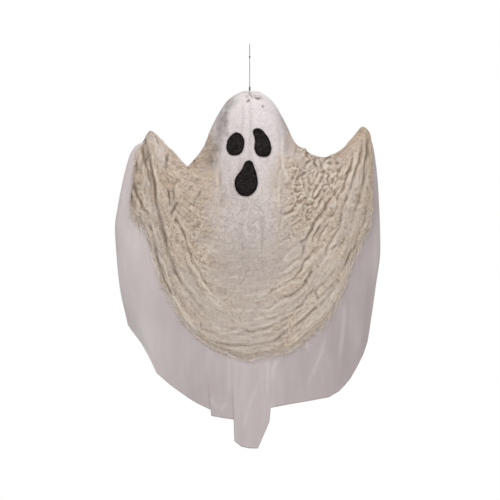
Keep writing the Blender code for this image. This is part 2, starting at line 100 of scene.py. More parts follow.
class Net:
    # the nodes of one material or world, made and linked by node()
    def __init__(self, name, kind="materials"):
        self.owner = getattr(bpy.data, kind).new(name)
        self.owner.use_nodes = True
        self.tree = self.owner.node_tree
        self.tree.nodes.clear()

    def node(self, kind, settings=None, values=None, out=0):
        made = self.tree.nodes.new(kind)
        for key, value in (settings or {}).items():
            setattr(made, key, value)
        for key, value in (values or {}).items():
            socket = made.inputs[key]
            if isinstance(value, Flow):
                self.tree.links.new(value.socket, socket)
            else:
                socket.default_value = (*value, 1.0) if socket.type == "RGBA" else value
        return Flow(self, made.outputs[out]) if len(made.outputs) else None

    def mix(self, share, first, second, blend="MIX"):
        settings = {"data_type": "RGBA", "blend_type": blend}
        return self.node("ShaderNodeMix", settings, {0: share, 6: first, 7: second}, out=2)

    def noise(self, place, scale, detail=3.0, rough=0.55, warp=0.0):
        values = {"Vector": place, "Scale": scale, "Detail": detail, "Roughness": rough, "Distortion": warp}
        return self.node("ShaderNodeTexNoise", {}, values)

    def stretched(self, place, scale):
        return self.node("ShaderNodeMapping", {}, {"Vector": place, "Scale": scale})

    def ribs(self, place, direction, scale):
        settings = {"wave_type": "BANDS", "bands_direction": direction, "wave_profile": "SIN"}
        return self.node("ShaderNodeTexWave", settings, {"Vector": place, "Scale": scale, "Distortion": 0.0})

    def part(self, place, name):
        return self.node("ShaderNodeSeparateXYZ", {}, {"Vector": place}, out=name)

    def object(self):
        return self.node("ShaderNodeTexCoord", out="Object")

    def cloth(self):
        return self.node("ShaderNodeUVMap", {"uv_map": "cloth"})

    def mark(self, name):
        return self.node("ShaderNodeAttribute", {"attribute_name": name}, out="Fac")

    def bump(self, height, distance, strength=1.0):
        return self.node("ShaderNodeBump", {}, {"Height": height, "Distance": distance, "Strength": strength})

    def surface(self, values):
        shader = self.node("ShaderNodeBsdfPrincipled", {}, values)
        self.node("ShaderNodeOutputMaterial", {}, {"Surface": shader})
        return self.owner


def shade(red, green, blue):
    # screen colour, 0 to 255, as the linear colour that a shader takes
    part = np.array([red, green, blue]) / 255
    return tuple(float(v) for v in np.where(part > 0.04045, ((part + 0.055) / 1.055)**2.4, part / 12.92))


# Mesh helpers
def gridFaces(rows, columns, flip=False):
    # quads between the rows of a grid that closes round its columns
    number = np.arange(rows * columns).reshape(rows, columns)
    right = np.roll(number, -1, axis=1)
    quads = np.stack([number[:-1], number[1:], right[1:], right[:-1]], axis=-1).reshape(-1, 4)
    return quads[:, ::-1] if flip else quads


def addPiece(name, points, faces, material, stands=(), uv=None, marks=None):
    # faces is a list of arrays, one row of vertex numbers for each face
    mesh = bpy.data.meshes.new(name)
    points = np.asarray(points, np.float32).reshape(-1, 3)
    corners = np.concatenate([block.ravel() for block in faces]).astype(np.int32)
    sizes = np.concatenate([np.full(len(block), block.shape[1]) for block in faces])
    mesh.vertices.add(len(points))
    mesh.vertices.foreach_set("co", points.ravel())
    mesh.loops.add(len(corners))
    mesh.loops.foreach_set("vertex_index", corners)
    mesh.polygons.add(len(sizes))
    mesh.polygons.foreach_set("loop_start", np.concatenate([[0], np.cumsum(sizes)[:-1]]).astype(np.int32))
    mesh.polygons.foreach_set("use_smooth", np.ones(len(sizes), bool))
    mesh.update(calc_edges=True)
    if uv is not None:
        layer = mesh.uv_layers.new(name="cloth")
        layer.data.foreach_set("uv", np.asarray(uv, np.float32).reshape(-1, 2)[corners].ravel())
    for key, values in (marks or {}).items():
        layer = mesh.attributes.new(key, "FLOAT", "POINT")
        layer.data.foreach_set("value", np.asarray(values, np.float32).ravel())
    mesh.materials.append(material)
    piece = bpy.data.objects.new(name, mesh)
    bpy.context.scene.collection.objects.link(piece)
    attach(piece, "root")
    if stands:
        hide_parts(*stands)
    return piece


def unit(vectors):
    return vectors / np.linalg.norm(vectors, axis=-1, keepdims=True)


def sweep(paths, across, radius, sides=10, lay=None, closed=False):
    # every path carries a circle: point + radius * (cos(turn) * first + sin(turn) * second);
    # lay = (strands, pitch, depth) presses the grooves of a twisted cord into it
    paths = np.asarray(paths, float)
    paths = paths[None] if paths.ndim == 2 else paths
    ahead = np.roll(paths, -1, 1) - np.roll(paths, 1, 1)
    if not closed:
        ahead[:, 0], ahead[:, -1] = paths[:, 1] - paths[:, 0], paths[:, -1] - paths[:, -2]
    ahead = unit(ahead)
    across = np.broadcast_to(across, paths.shape)
    first = unit(across - ahead * np.sum(across * ahead, axis=-1, keepdims=True))
    second = np.cross(ahead, first)
    steps = np.linalg.norm(np.diff(paths, axis=1), axis=-1)
    along = np.concatenate([np.zeros((len(paths), 1)), np.cumsum(steps, axis=1)], axis=1)[..., None]
    turn = 2 * pi * np.arange(sides) / sides
    size = np.broadcast_to(np.asarray(radius, float), paths.shape[:2])[..., None] * np.ones(sides)
    if lay:
        strands, pitch, depth = lay
        size = size * (1 - depth * (1 - np.abs(np.cos(strands / 2 * (turn - 2 * pi * along / pitch)))))
    ring = np.cos(turn)[:, None] * first[:, :, None] + np.sin(turn)[:, None] * second[:, :, None]
    points = paths[:, :, None] + size[..., None] * ring
    count, rows = paths.shape[:2]
    number = np.arange(count * rows * sides).reshape(count, rows, sides)
    if closed:
        number = np.concatenate([number, number[:, :1]], axis=1)
    right = np.roll(number, -1, axis=2)
    quads = np.stack([number[:, :-1], right[:, :-1], right[:, 1:], number[:, 1:]], axis=-1).reshape(-1, 4)
    faces = [quads] if closed else [quads, number[:, 0, ::-1], number[:, -1]]
    spread = np.broadcast_to(turn, size.shape) / (2 * pi)
    uv = np.stack([spread, np.broadcast_to(along, size.shape)], axis=-1)
    return points.reshape(-1, 3), faces, uv.reshape(-1, 2)


# Cord from the knot under the ball to the hanging loop, in metres
cord = {"radius": 0.00055, "low": -0.18996, "high": -0.0206, "step": 0.0005, "strands": 3, "pitch": 0.0036,
        "groove": 0.22, "sides": 12, "loopZ": -0.010, "loopHigh": 0.00945, "loopWide": 0.0036,
        "loopParts": 120, "loopTwists": 12, "dark": (44, 41, 40), "light": (84, 80, 77)}
# turns, low end, high end, radius, swelling and tube radius of each wound knot
woundKnots = {"loop_knot": (2.6, -0.0236, -0.0200, 0.00092, 0.05, 0.00045),
              "crown_knot": (5.2, -0.0803, -0.0723, 0.00105, 0.15, 0.0005)}


def makeCordMaterial():
    net = Net("cord")
    place = net.object()
    base = net.mix(net.noise(place, 1500, 3, 0.6), shade(*cord["dark"]), shade(*cord["light"]))
    return net.surface({"Base Color": base, "Roughness": 0.7})


def coil(turns, low, high, radius, swell, tube):
    # a strand wound round the cord; its ends tuck in towards the axis
    t = np.linspace(0, 1, int(40 * turns))
    tuck = 1 - 0.55 * (np.clip(1 - t / 0.08, 0, 1) + np.clip(1 - (1 - t) / 0.08, 0, 1))
    out = radius * (1 + swell * np.sin(pi * t)) * tuck
    turn = 2 * pi * turns * t
    rise = low + tube + (high - low - 2 * tube) * t
    return np.stack([out * np.cos(turn), out * np.sin(turn), rise], axis=-1)


def knotLoop(rounds, winds, middle, wide, thin, high):
    # a closed strand that goes rounds times about the axis and winds times about its own ring
    t = 2 * pi * np.arange(420) / 420
    out = wide + thin * np.cos(winds * t)
    rise = middle + high * np.sin(winds * t)
    return np.stack([out * np.cos(rounds * t), out * np.sin(rounds * t), rise], axis=-1)


def makeCords():
    look = makeCordMaterial()
    radius = cord["radius"]
    path = np.zeros((int((cord["high"] - cord["low"]) / cord["step"]), 3))
    path[:, 2] = np.linspace(cord["low"], cord["high"], len(path))
    twist = (cord["strands"], cord["pitch"], cord["groove"])
    points, faces, uv = sweep(path, (1.0, 0.0, 0.0), radius, cord["sides"], twist)
    line = addPiece("cord_line", points, faces, look, ["hang_cord"], uv)
    turn = 2 * pi * np.arange(cord["loopParts"]) / cord["loopParts"]
    rise = cord["loopZ"] + cord["loopHigh"] * np.cos(turn)
    ellipse = np.stack([0 * turn, cord["loopWide"] * np.sin(turn), rise], axis=-1)
    around = np.linalg.norm(np.roll(ellipse, -1, 0) - ellipse, axis=-1).sum()
    twist = (cord["strands"], around / cord["loopTwists"], cord["groove"])
    points, faces, uv = sweep(ellipse, (1.0, 0.0, 0.0), radius, cord["sides"], twist, True)
    extras = [addPiece("cord_loop", points, faces, look, ["hang_loop"], uv)]
    for name, sizes in woundKnots.items():
        points, faces, uv = sweep(coil(*sizes), (0.0, 0.0, 1.0), 0.00048, 10, (3, 0.0030, 0.2))
        extras.append(addPiece(name + "_turns", points, faces, look, [name], uv))
    tangle = knotLoop(2, 7, -0.19055, 0.0019, 0.0009, 0.0019)
    points, faces, uv = sweep(tangle, (0.0, 0.0, 1.0), 0.00058, 10, None, True)
    extras.append(addPiece("lower_knot_turns", points, faces, look, ["lower_knot"], uv))


makeCords()
print("cord, loop and knots made")


# Noise and easing
def ease(value, start, end):
    # 0 at the start and 1 at the end: t * t * (3 - 2 * t) of the share t between them
    t = np.clip((value - start) / (end - start), 0.0, 1.0)
    return t * t * (3 - 2 * t)


def cloud(points, seed):
    # random values from -1 to 1 on the corners of unit cubes, eased between the corners
    size = 32
    values = np.random.default_rng(seed).uniform(-1, 1, (size, size, size))
    cell = np.floor(points).astype(int)
    t = points - cell
    t = t * t * (3 - 2 * t)
    total = np.zeros(points.shape[:-1])
    for corner in np.ndindex(2, 2, 2):
        pick = (cell + corner) % size
        weight = np.prod(np.where(corner, t, 1 - t), axis=-1)
        total += weight * values[pick[..., 0], pick[..., 1], pick[..., 2]]
    return total


def smoothThrough(at, nodes, values):
    # cubic through the nodes whose tangents are level at the turning points, so it never overshoots
    step = np.diff(nodes)
    slope = np.diff(values) / step
    left, right = slope[:-1], slope[1:]
    wideLeft, wideRight = 2 * step[1:] + step[:-1], step[1:] + 2 * step[:-1]
    turning = left * right <= 0
    safeLeft, safeRight = np.where(turning, 1.0, left), np.where(turning, 1.0, right)
    middle = (wideLeft + wideRight) / (wideLeft / safeLeft + wideRight / safeRight)
    tangent = np.concatenate(([slope[0]], np.where(turning, 0.0, middle), [slope[-1]]))
    cell = np.clip(np.searchsorted(nodes, at, side="right") - 1, 0, len(nodes) - 2)
    h = step[cell]
    t = np.clip((at - nodes[cell]) / h, 0.0, 1.0)
    return ((2 * t**3 - 3 * t**2 + 1) * values[cell] + (t**3 - 2 * t**2 + t) * h * tangent[cell]
            + (3 * t**2 - 2 * t**3) * values[cell + 1] + (t**3 - t**2) * h * tangent[cell + 1])


# The form of the drape, as in the CAD: ring runs from the crown (0) to the voile's hem (1),
# angle goes round, 0 at the right arm and -90 degrees at the front.
form = {
    "ballRadius": 0.05, "slip": 0.0009, "sheet": 0.0005, "ease": 0.0015, "cordLength": 0.0805,
    "cordRadius": 0.00055, "equator": 0.138, "hemDrop": 0.505, "belly": 0.012, "panel": 0.003,
    "backHem": 0.94, "fringeRoom": 0.02, "rightReach": 0.192, "leftReach": 0.169, "rightSpread": 0.03,
    "leftSpread": 0.06, "rightHandDrop": 0.0094, "leftHandDrop": 0.0165,
    "ovalWide": 0.20, "ovalDeep": 0.062,
    "rightNeck": ((0.138, 1.122, -0.01), (0.2, 1.469, 0.716), (0.25, 1.898, 1.063), (0.31, 2.442, 1.221)),
    "rightArm": ((0.38, 0.459, 0.248), (0.45, 0.816, 0.724), (0.495, 1.0, 1.0)),
    "rightSide": ((0.51, 0.132, 0.006), (0.56, 0.477, 0.063), (0.62, 0.707, 0.161), (0.7, 0.885, 0.309),
        (0.8, 1.0, 0.586), (0.9, 0.736, 0.793), (1.0, 0.42, 1.0)),
    "leftNeck": ((0.138, 1.139, -0.01), (0.2, 1.485, 0.848), (0.25, 1.799, 1.277), (0.285, 2.069, 1.535)),
    "leftArm": ((0.36, 0.4135, 0.429), (0.42, 0.724, 0.742), (0.48, 1.0, 1.0)),
    "leftSide": ((0.5, 0.06, 0.014), (0.522, 0.13, 0.044), (0.545, 0.33, 0.063), (0.58, 0.505, 0.0987),
        (0.64, 0.725, 0.21), (0.72, 0.926, 0.387), (0.77, 1.0, 0.491), (0.85, 0.94, 0.678),
        (0.92, 0.854, 0.823), (1.0, 0.639, 1.0)),
    "voileHem": ((-1.0, 0.68), (-0.965, 0.7005), (-0.89, 0.741), (-0.834, 0.781), (-0.76, 0.842),
        (-0.645, 0.882), (-0.506, 0.9226), (-0.424, 0.943), (-0.319, 0.9635), (-0.315, 0.984),
        (-0.22, 0.991), (-0.129, 0.9964), (-0.125, 1.0685), (-0.069, 1.0866), (0.0, 1.0925),
        (0.068, 1.0925), (0.166, 0.9994), (0.171, 0.957), (0.36, 0.943), (0.658, 0.9226), (0.741, 0.9025),
        (0.79, 0.882), (0.832, 0.862), (0.89, 0.8215), (0.94, 0.781), (0.98, 0.741), (1.0, 0.7005)),
    "rightGauze": ((0.0, 0.53), (0.06, 0.55), (0.138, 0.6), (0.212, 0.692), (0.26, 0.712), (0.345, 0.703),
        (0.41, 0.706), (0.5, 0.737), (0.6, 0.762), (0.71, 0.784), (0.79, 0.805), (1.0, 0.828)),
    "leftGauze": ((0.0, 0.512), (0.057, 0.522), (0.094, 0.54), (0.2, 0.6), (0.24, 0.656), (0.287, 0.664),
        (0.372, 0.654), (0.474, 0.682), (0.555, 0.725), (0.606, 0.745), (0.71, 0.784), (1.0, 0.828)),
    "backGauze": ((0.0, 0.52), (0.12, 0.575), (0.3, 0.66), (0.6, 0.745), (1.0, 0.8)),
}
voileRadius = form["ballRadius"] + form["slip"] + form["sheet"]
gauzeLift = form["slip"] + form["sheet"]
centreZ = -form["cordLength"] - voileRadius - gauzeLift
equator = form["equator"]
leave = equator * 2 / 3
firstRing = 2.6 * form["cordRadius"] / voileRadius / (pi / 2) * equator  # just clear of the cord


def columns(name):
    # one array for each column of a table in form
    return np.array(form[name], float).T


def edgeNodes(side, endShare):
    # nodes (ring, x, z from the ball's centre) of one side of the front outline
    ring, out, down = columns(side + "Neck")
    neckX, neckZ = out * voileRadius, -down * voileRadius
    armRing, along, up = columns(side + "Arm")
    reach, spread, drop = form[side + "Reach"], form[side + "Spread"], form[side + "HandDrop"]
    armX, armZ = neckX[-1] + (reach - neckX[-1]) * along, neckZ[-1] + (-drop - neckZ[-1]) * up
    sideRing, away, fall = columns(side + "Side")
    sideX, sideZ = reach + spread * away, -drop - (endShare * form["hemDrop"] - drop) * fall
    lead = np.array([0.8 * leave, leave])
    turn = lead / equator * pi / 2
    return (np.concatenate([lead, ring, armRing, sideRing]),
            np.concatenate([voileRadius * np.sin(turn), neckX, armX, sideX]),
            np.concatenate([voileRadius * np.cos(turn), neckZ, armZ, sideZ]))


edges = {"right": edgeNodes("right", form["voileHem"][-1][1]),
         "left": edgeNodes("left", form["voileHem"][0][1])}


def edgePoint(ring, side):
    # a circle round the ball down to where the side leaves it, then smoothly through the nodes
    nodes, acrossValues, upValues = edges[side]
    turn = np.minimum(ring / equator, 1.0) * pi / 2
    x = np.where(ring < leave, voileRadius * np.sin(turn), smoothThrough(ring, nodes, acrossValues))
    z = np.where(ring < leave, voileRadius * np.cos(turn), smoothThrough(ring, nodes, upValues))
    return x, z


def drape(ring, angle):
    # each ring hangs as a swag between the side edges: x follows the cosine of the angle and
    # z rises from the middle to the edge with a power of it
    c, s = np.cos(angle), np.sin(angle)
    rightX, rightZ = edgePoint(ring, "right")
    leftX, leftZ = edgePoint(ring, "left")
    half = leftX + (rightX - leftX) * ease(c, -0.3, 0.3)
    sideZ = np.where(c >= 0, rightZ, leftZ)
    share = (ring - equator) / (1 - equator)
    turn = np.minimum(ring / equator, 1.0) * pi / 2
    drop = form["hemDrop"]
    middleZ = np.where(share < 0, voileRadius * np.cos(turn), -drop * share)
    bulge = voileRadius + form["belly"] * np.sin(np.clip(share, 0, 1) * 0.8 * pi)
    depth = np.where(share < 0, voileRadius * np.sin(turn), bulge)
    lowSteep = 3.0 * ease(c, -0.1, 0.5) - 0.3
    steep = 2.0 + 0.6 * ease(ring, 0.1, 0.6) + lowSteep * ease(ring, 0.6, 1.0)
    thin = 1.0 + 0.18 * ease(ring, 0.1, 0.45) - 0.08 * ease(ring, 0.6, 1.0)
    x = half * c
    y = np.sign(s) * depth * np.abs(s)**thin
    z = middleZ + (sideZ - middleZ) * np.abs(c)**steep
    hemAcross, hemShare = columns("voileHem")
    endShare = np.where(c >= 0, hemShare[-1], hemShare[0])
    rise = np.abs(c)**(2.6 + lowSteep)
    plain = -drop + drop * (1 - endShare) * rise
    frontHem = -drop * np.interp(c, hemAcross, hemShare)
    backHem = -drop * (form["backHem"] - (form["backHem"] - endShare) * rise)
    front, back = ease(-s, 0.0, 0.12), ease(s, 0.0, 0.12)
    z = z + ((frontHem - plain) * front + (backHem - plain) * back) * ease(ring, 0.80, 1.0)
    inPanel = ease(c, -0.165, -0.125) * (1 - ease(c, 0.150, 0.185)) * front
    y = y - form["panel"] * inPanel * ease(ring, 0.55, 0.85)
    flute = 0.5 + 0.5 * np.cos(10 * angle + 1.4 * np.sin(2 * angle))
    y = y + np.sign(s) * form["belly"] * 0.45 * flute * np.abs(s) * ease(ring, 0.45, 1.0) * (1 - inPanel)
    return np.stack([x, y, z + centreZ], axis=-1)


def drapeFrame(ring, angle):
    # point, outward direction and metres of cloth for each unit of ring
    step = 0.004
    down = drape(np.minimum(ring + step, 1.0), angle) - drape(np.maximum(ring - step, 0.001), angle)
    around = drape(ring, angle + step) - drape(ring, angle - step)
    width = np.minimum(ring + step, 1.0) - np.maximum(ring - step, 0.001)
    return drape(ring, angle), unit(np.cross(down, around)), np.linalg.norm(down, axis=-1) / width


def gauzeEnd(angle):
    # ring of the gauze's raw edge, from the share of the way between the arm and the middle
    share = np.arcsin(np.clip(np.abs(np.sin(angle)), 0, 1)) / (pi / 2)
    names = ("rightGauze", "leftGauze", "backGauze")
    right, left, back = (smoothThrough(share, *columns(name)) for name in names)
    front = np.where(np.cos(angle) >= 0, right, left)
    round3 = np.stack([np.cos(angle), np.sin(angle), 0 * angle], axis=-1)
    ragged = 0.0028 * cloud(round3 * 9, 50) + 0.0022 * cloud(round3 * 31, 51)
    front = front - form["fringeRoom"] * ease(share, 0.3, 0.75)
    return front + (back - front) * ease(np.sin(angle), -0.05, 0.25) + ragged


def spreadAngles(front, back):
    # angles whose spacing is even along a flat oval, closer together over the front half
    fine = np.linspace(-pi, pi, 4001)
    speed = np.hypot(form["ovalWide"] * np.sin(fine), form["ovalDeep"] * np.cos(fine))
    speed = speed * np.where(fine < 0, front, back)
    total = np.concatenate([[0], np.cumsum((speed[1:] + speed[:-1]) / 2)])
    return np.interp(np.arange(front + back) / (front + back) * total[-1], total, fine)


def flatPlace(points, angle):
    # cloth coordinates in metres: distance down each column from the crown, laid out round the centre
    steps = np.linalg.norm(np.diff(points, axis=0), axis=-1)
    far = np.concatenate([np.zeros((1, points.shape[1])), np.cumsum(steps, axis=0)]) + 0.002
    return np.stack([far * np.cos(angle), far * np.sin(angle)], axis=-1)


print("drape form ready")


# Folds of the gauze. Each crease is a line through pixels of the photograph, with its depth in
# metres and its width in pixels; the pits and crumpled spots have a centre and a radius.
creases = {
    "leftTipLong": (0.0026, 1.5, ((145.7, 142.4), (148.6, 150.7), (150.3, 163), (153.6, 177), (154.8, 188),
        (156.5, 204.6), (161.5, 221), (165.5, 236), (168, 252.6), (172.3, 260), (175, 267.5), (178, 274.6),
        (185.6, 286.5), (193.3, 297.7), (202, 306), (206.7, 312))),
    "leftTipOuter": (0.0032, 1.3, ((142, 147.4), (144, 155.7), (145.7, 164.8), (148.2, 174), (150, 184))),
    "leftTipSecond": (0.0018, 1.2, ((150.5, 171), (151, 182), (151.6, 195), (154, 208), (157, 219))),
    "leftOuter": (0.0019, 1.4, ((133, 180), (136, 189), (140, 199), (145, 209.5), (149.5, 216), (151, 226),
        (153.5, 237), (156.5, 250), (158, 258), (161, 267.5))),
    "leftHem": (0.0016, 1.4, ((153.5, 237), (156.5, 250), (158, 258), (161, 267.5), (164.6, 278),
        (168, 288), (172.3, 297), (176.5, 305.4), (182, 315), (188.4, 325.8), (194.7, 332.8), (200.3, 338),
        (208.8, 343))),
    "leftNick": (0.0026, 1.5, ((131.4, 193), (132.5, 200.4), (136, 209))),
    "leftFlank": (0.0014, 1.2, ((137.4, 193.8), (143.2, 208.7), (149, 214), (153, 228), (158, 243),
        (161, 252))),
    "leftCuff": (0.0016, 1.2, ((137, 161), (136.6, 166), (137.2, 171))),
    "leftInner": (0.0016, 1.3, ((175, 215), (178, 220.3), (183, 231), (186.3, 239.4), (190, 250),
        (193.5, 262), (199.6, 272), (204, 279), (210, 288), (217, 298), (222, 305))),
    "leftMiddle": (0.001, 1.2, ((176, 238), (184, 255), (189, 268), (194.7, 279.5), (200.4, 288),
        (205, 295), (213.7, 302))),
    "leftElbow": (0.0022, 1.2, ((169, 189), (169.4, 194), (170.6, 205))),
    "leftHook": (0.003, 1.4, ((172.6, 214), (174, 209.5), (179, 202))),
    "leftWrist": (0.0018, 1.2, ((173.5, 190), (174.6, 196), (174, 201))),
    "leftNeckSoft": (0.0014, 2.0, ((192, 210), (194, 203), (198, 196), (204.5, 187))),
    "leftPalm": (0.0022, 1.3, ((167, 154), (166.8, 160), (166.6, 166))),
    "rightFirst": (0.0027, 1.3, ((352, 152), (350, 163), (346.8, 172.6), (344, 180.7), (340.8, 190.5),
        (337.5, 197), (336, 204), (334.3, 210.6), (332, 215.5), (328.3, 219), (326, 225), (318, 239.5),
        (313.6, 248.6))),
    "rightInner": (0.0032, 1.5, ((330.5, 196), (328.8, 200), (326, 207), (323.5, 211), (320.2, 215),
        (316.5, 220), (312.8, 224.7), (307.4, 235), (301.3, 247))),
    "rightSecond": (0.0025, 1.3, ((361, 144), (358.7, 159), (354, 174.4), (350.5, 187), (347.3, 193.5),
        (345.7, 198.6), (343, 206.2), (340.8, 215), (339.2, 223.6), (332.7, 238), (327.3, 247),
        (324.3, 255), (318, 266), (308, 275))),
    "rightThird": (0.0019, 1.3, ((368, 137), (366, 150), (363.5, 170), (362.5, 183), (358.7, 193.6),
        (352, 205))),
    "rightFourth": (0.0016, 1.3, ((366, 168), (361, 190), (356.5, 203), (348.4, 223), (340, 238),
        (331, 254), (321.8, 270))),
    "rightFifth": (0.0014, 1.3, ((370, 180), (367, 205), (361, 226), (354.5, 243.7), (342, 268),
        (330, 286.5), (317.8, 305))),
    "rightLow": (0.0016, 1.3, ((338, 262), (329, 276), (318, 288), (304, 299), (288, 305))),
    "rightFirstLow": (0.0022, 1.3, ((315, 247), (309, 256.5), (305.5, 259), (303, 263.8), (300, 269.8),
        (297, 274), (291.5, 279.5), (283.6, 284.4), (276, 288))),
    "rightSecondLow": (0.0024, 1.4, ((312, 266), (309.7, 274.7), (306, 281.4), (301.2, 285.6), (291.5, 294),
        (283.6, 298.3), (275, 301))),
    "rightLowBand": (0.0018, 1.2, ((314, 287), (310.3, 291.7), (306, 297), (302.4, 301.4), (298.2, 306.2),
        (291.5, 309.8), (284, 312.5))),
    "rightLowThin": (0.0014, 1.2, ((334, 281), (331, 285), (326, 289.8), (321.2, 294.7), (316, 299))),
    "rightLowNick": (0.0018, 1.2, ((313.8, 290), (314.5, 293), (315.6, 296), (316.6, 299.5))),
    "rightHighThin": (0.0016, 1.2, ((320, 223), (317.6, 228.6), (314, 235.3), (309.7, 244.4))),
    "rightHighBend": (0.0018, 1.3, ((312, 229), (309, 233), (306.7, 238.3), (300, 241.4))),
    "rightMidNick": (0.0018, 1.3, ((304, 245), (302.4, 249.2), (300, 255.3))),
    "rightFine": (0.002, 1.2, ((326, 186), (323, 192), (319.6, 202.5), (317, 208.5), (313.7, 213.5),
        (306.6, 221))),
    "rightThin": (0.0018, 1.2, ((338, 186), (336.4, 191.6), (332.6, 198))),
    "rightSlant": (0.002, 1.3, ((344, 235), (341, 242.5), (333.5, 246.5), (327, 252.5))),
    "rightCup": (0.0034, 1.4, ((327, 170), (322.5, 175), (318, 184), (314.8, 189), (312, 194.5),
        (311.5, 198.5), (315, 198), (318, 195), (320.2, 190), (323, 184.5), (325.5, 178))),
    "rightHook": (0.0028, 1.3, ((310, 187), (307.8, 194), (304.5, 199), (300, 201.5), (295.5, 203))),
    "rightBack": (0.002, 1.3, ((302, 174), (301.7, 178), (303.4, 184.5), (304.4, 190))),
    "rightZigzag": (0.0028, 1.2, ((314.2, 201.4), (309.3, 205.2), (304.4, 204.6), (301.7, 209),
        (297, 216))),
    "rightBranch": (0.0022, 1.2, ((293, 207), (291, 211.7), (287, 213), (281, 213.4))),
    "rightTop": (0.0018, 1.2, ((310.4, 161.2), (306, 163.3), (302.5, 165.5))),
    "rightBend": (0.0022, 1.2, ((313.6, 161), (315, 167), (319, 167.4), (321, 164))),
    "rightNeck": (0.0018, 1.3, ((295, 147), (293.5, 152.5), (291.5, 157), (287, 160))),
    "rightPalm": (0.002, 1.2, ((343, 160), (340, 168), (336, 176))),
    "columnRidge": (-0.0014, 1.3, ((282, 138), (282, 150), (282, 165), (278.5, 183), (278.5, 202))),
    "columnBranch": (-0.0012, 1.2, ((282, 163), (285, 172), (288, 182))),
    "leftColumnRidge": (-0.001, 1.5, ((214, 148), (216, 170), (219, 190), (221, 216))),
    "bellyFirst": (0.0018, 1.2, ((302, 277), (296, 279.5), (287, 284.5), (280, 287.5), (271, 291),
        (259, 299))),
    "bellySecond": (0.0016, 1.2, ((297, 293), (285, 297), (274, 304), (268, 309), (260, 309))),
    "bellyThird": (0.0018, 1.2, ((312, 296), (303, 303), (293, 309), (280, 314), (270, 318.5), (257, 317))),
    "bellyFourth": (0.0018, 1.3, ((226, 330), (240, 328), (252, 331), (262, 328), (275, 324), (284, 319),
        (296, 312))),
    "bellyStep": (0.0012, 1.2, ((234, 317), (240, 320), (248, 320.5), (256, 316))),
    "bellyLeft": (0.0014, 1.3, ((200.4, 321.6), (203, 328), (209, 331), (220, 334))),
    "bellyRight": (0.0014, 1.2, ((300, 256), (292, 263), (284, 270), (272, 276))),
    "bellyHigh": (0.001, 1.2, ((250, 268), (245, 273), (243, 281), (236, 285))),
    "hemGroove": (0.002, 1.3, ((208, 338), (214, 341), (231, 344), (250, 345), (268, 342), (281, 335),
        (298, 323), (313, 310), (330, 292), (343, 268), (352, 240))),
    "headSeam": (0.0005, 1.0, ((251, 98), (250, 120), (250, 140), (249, 162))),
    "bellySeam": (0.0007, 1.1, ((243, 215), (242, 236), (243.5, 255), (243, 270))),
    "bellyLine": (0.0009, 1.1, ((262, 216), (262.5, 230), (261.5, 248), (256, 256))),
    "leftColumn": (0.0012, 2.2, ((224, 112), (222, 130), (221, 160), (221, 190), (223, 230))),
    "rightColumn": (0.0012, 2.2, ((277, 112), (279, 135), (280, 165), (281, 195), (280, 235))),
}
pits = (((309.6, 151), 1.7, 0.0036), ((306, 155), 1.5, 0.002), ((326.2, 157.8), 1.7, 0.003),
    ((330.6, 158.2), 1.5, 0.0026), ((329, 164), 1.4, 0.0022), ((337, 164.5), 1.5, 0.0024),
    ((320.2, 166.8), 1.4, 0.002), ((328.4, 170.5), 1.7, 0.0028), ((323, 173), 1.6, 0.002),
    ((337, 177), 1.5, 0.002), ((302, 173.3), 1.4, 0.002), ((325.6, 167.6), 2.6, -0.0034),
    ((317.8, 165.2), 1.8, -0.0018), ((326.8, 161.2), 1.6, -0.002), ((331, 176.5), 2.2, -0.0014),
    ((188, 169), 2.0, 0.0018), ((145, 141.4), 1.8, 0.003), ((177.2, 220), 1.6, 0.0024),
    ((166.6, 161), 1.6, 0.0018), ((372, 150), 1.6, 0.0014), ((337, 281), 1.7, 0.0026),
    ((315.2, 308.6), 1.8, 0.0028), ((300.5, 241.6), 1.6, 0.0018), ((306, 281.6), 1.6, 0.0018))
# Small lumps that also show in the outline: a centre in pixels, its radius and its height
lumps = (((303.5, 151), 3.6, 0.0056), ((308.6, 153.2), 2.0, 0.0026), ((332, 157), 2.4, 0.0012),
    ((363.5, 128.5), 2.2, 0.0022), ((212, 134), 1.6, 0.0012), ((209, 142), 1.5, 0.0012),
    ((206.5, 150), 1.6, 0.0012), ((201, 158), 1.5, 0.001), ((190, 160), 1.6, 0.001),
    ((171, 148), 2.0, 0.001))
crumples = (((306, 172), 20, 0.0026), ((327, 180), 16, 0.0023), ((300, 206), 22, 0.0019),
    ((285, 240), 22, 0.0011), ((350, 200), 24, 0.0008), ((182, 190), 26, 0.0009), ((200, 235), 26, 0.001),
    ((250, 280), 40, 0.0008))
gauzeFolds = {
    "pleats": 12, "backHeight": 0.0009, "frontHeight": 0.0004, "crumpleSize": 0.0095, "crinkle": 0.00024,
    "slant": (0.55, 0.0, 0.84), "slanting": 0.5, "crinkleSize": 0.0042, "streakSize": 0.0072,
    "streakReach": 0.034, "streakHeight": 0.0010, "gathers": 26, "gatherHeight": 0.0008,
    "tuftHeight": 0.0008, "backCrumple": 0.0004, "thinnest": 0.0003, "tipSize": 0.012, "backLower": 0.1,
    "frontColumns": 290, "backColumns": 105, "crownRows": 32, "rows": 212}
# height, distance from the raw edge and width of the two ridges along it
hemRidges = ((0.0008, 0.004, 0.0022), (0.0007, 0.0105, 0.002))
# creases wander by wobble pixels, and a lip stands beside each, lipAway widths off
creaseForm = {"depth": 0.8, "pitDepth": 0.7, "wobble": 1.3, "lip": 0.25, "lipAway": 2.2, "narrowing": 0.35}
hands = {"left": (150.0, 131.5), "right": (363.0, 127.5)}
feltSpots = (((236, 144), 13), ((262, 142), 16), ((246, 178), 19))


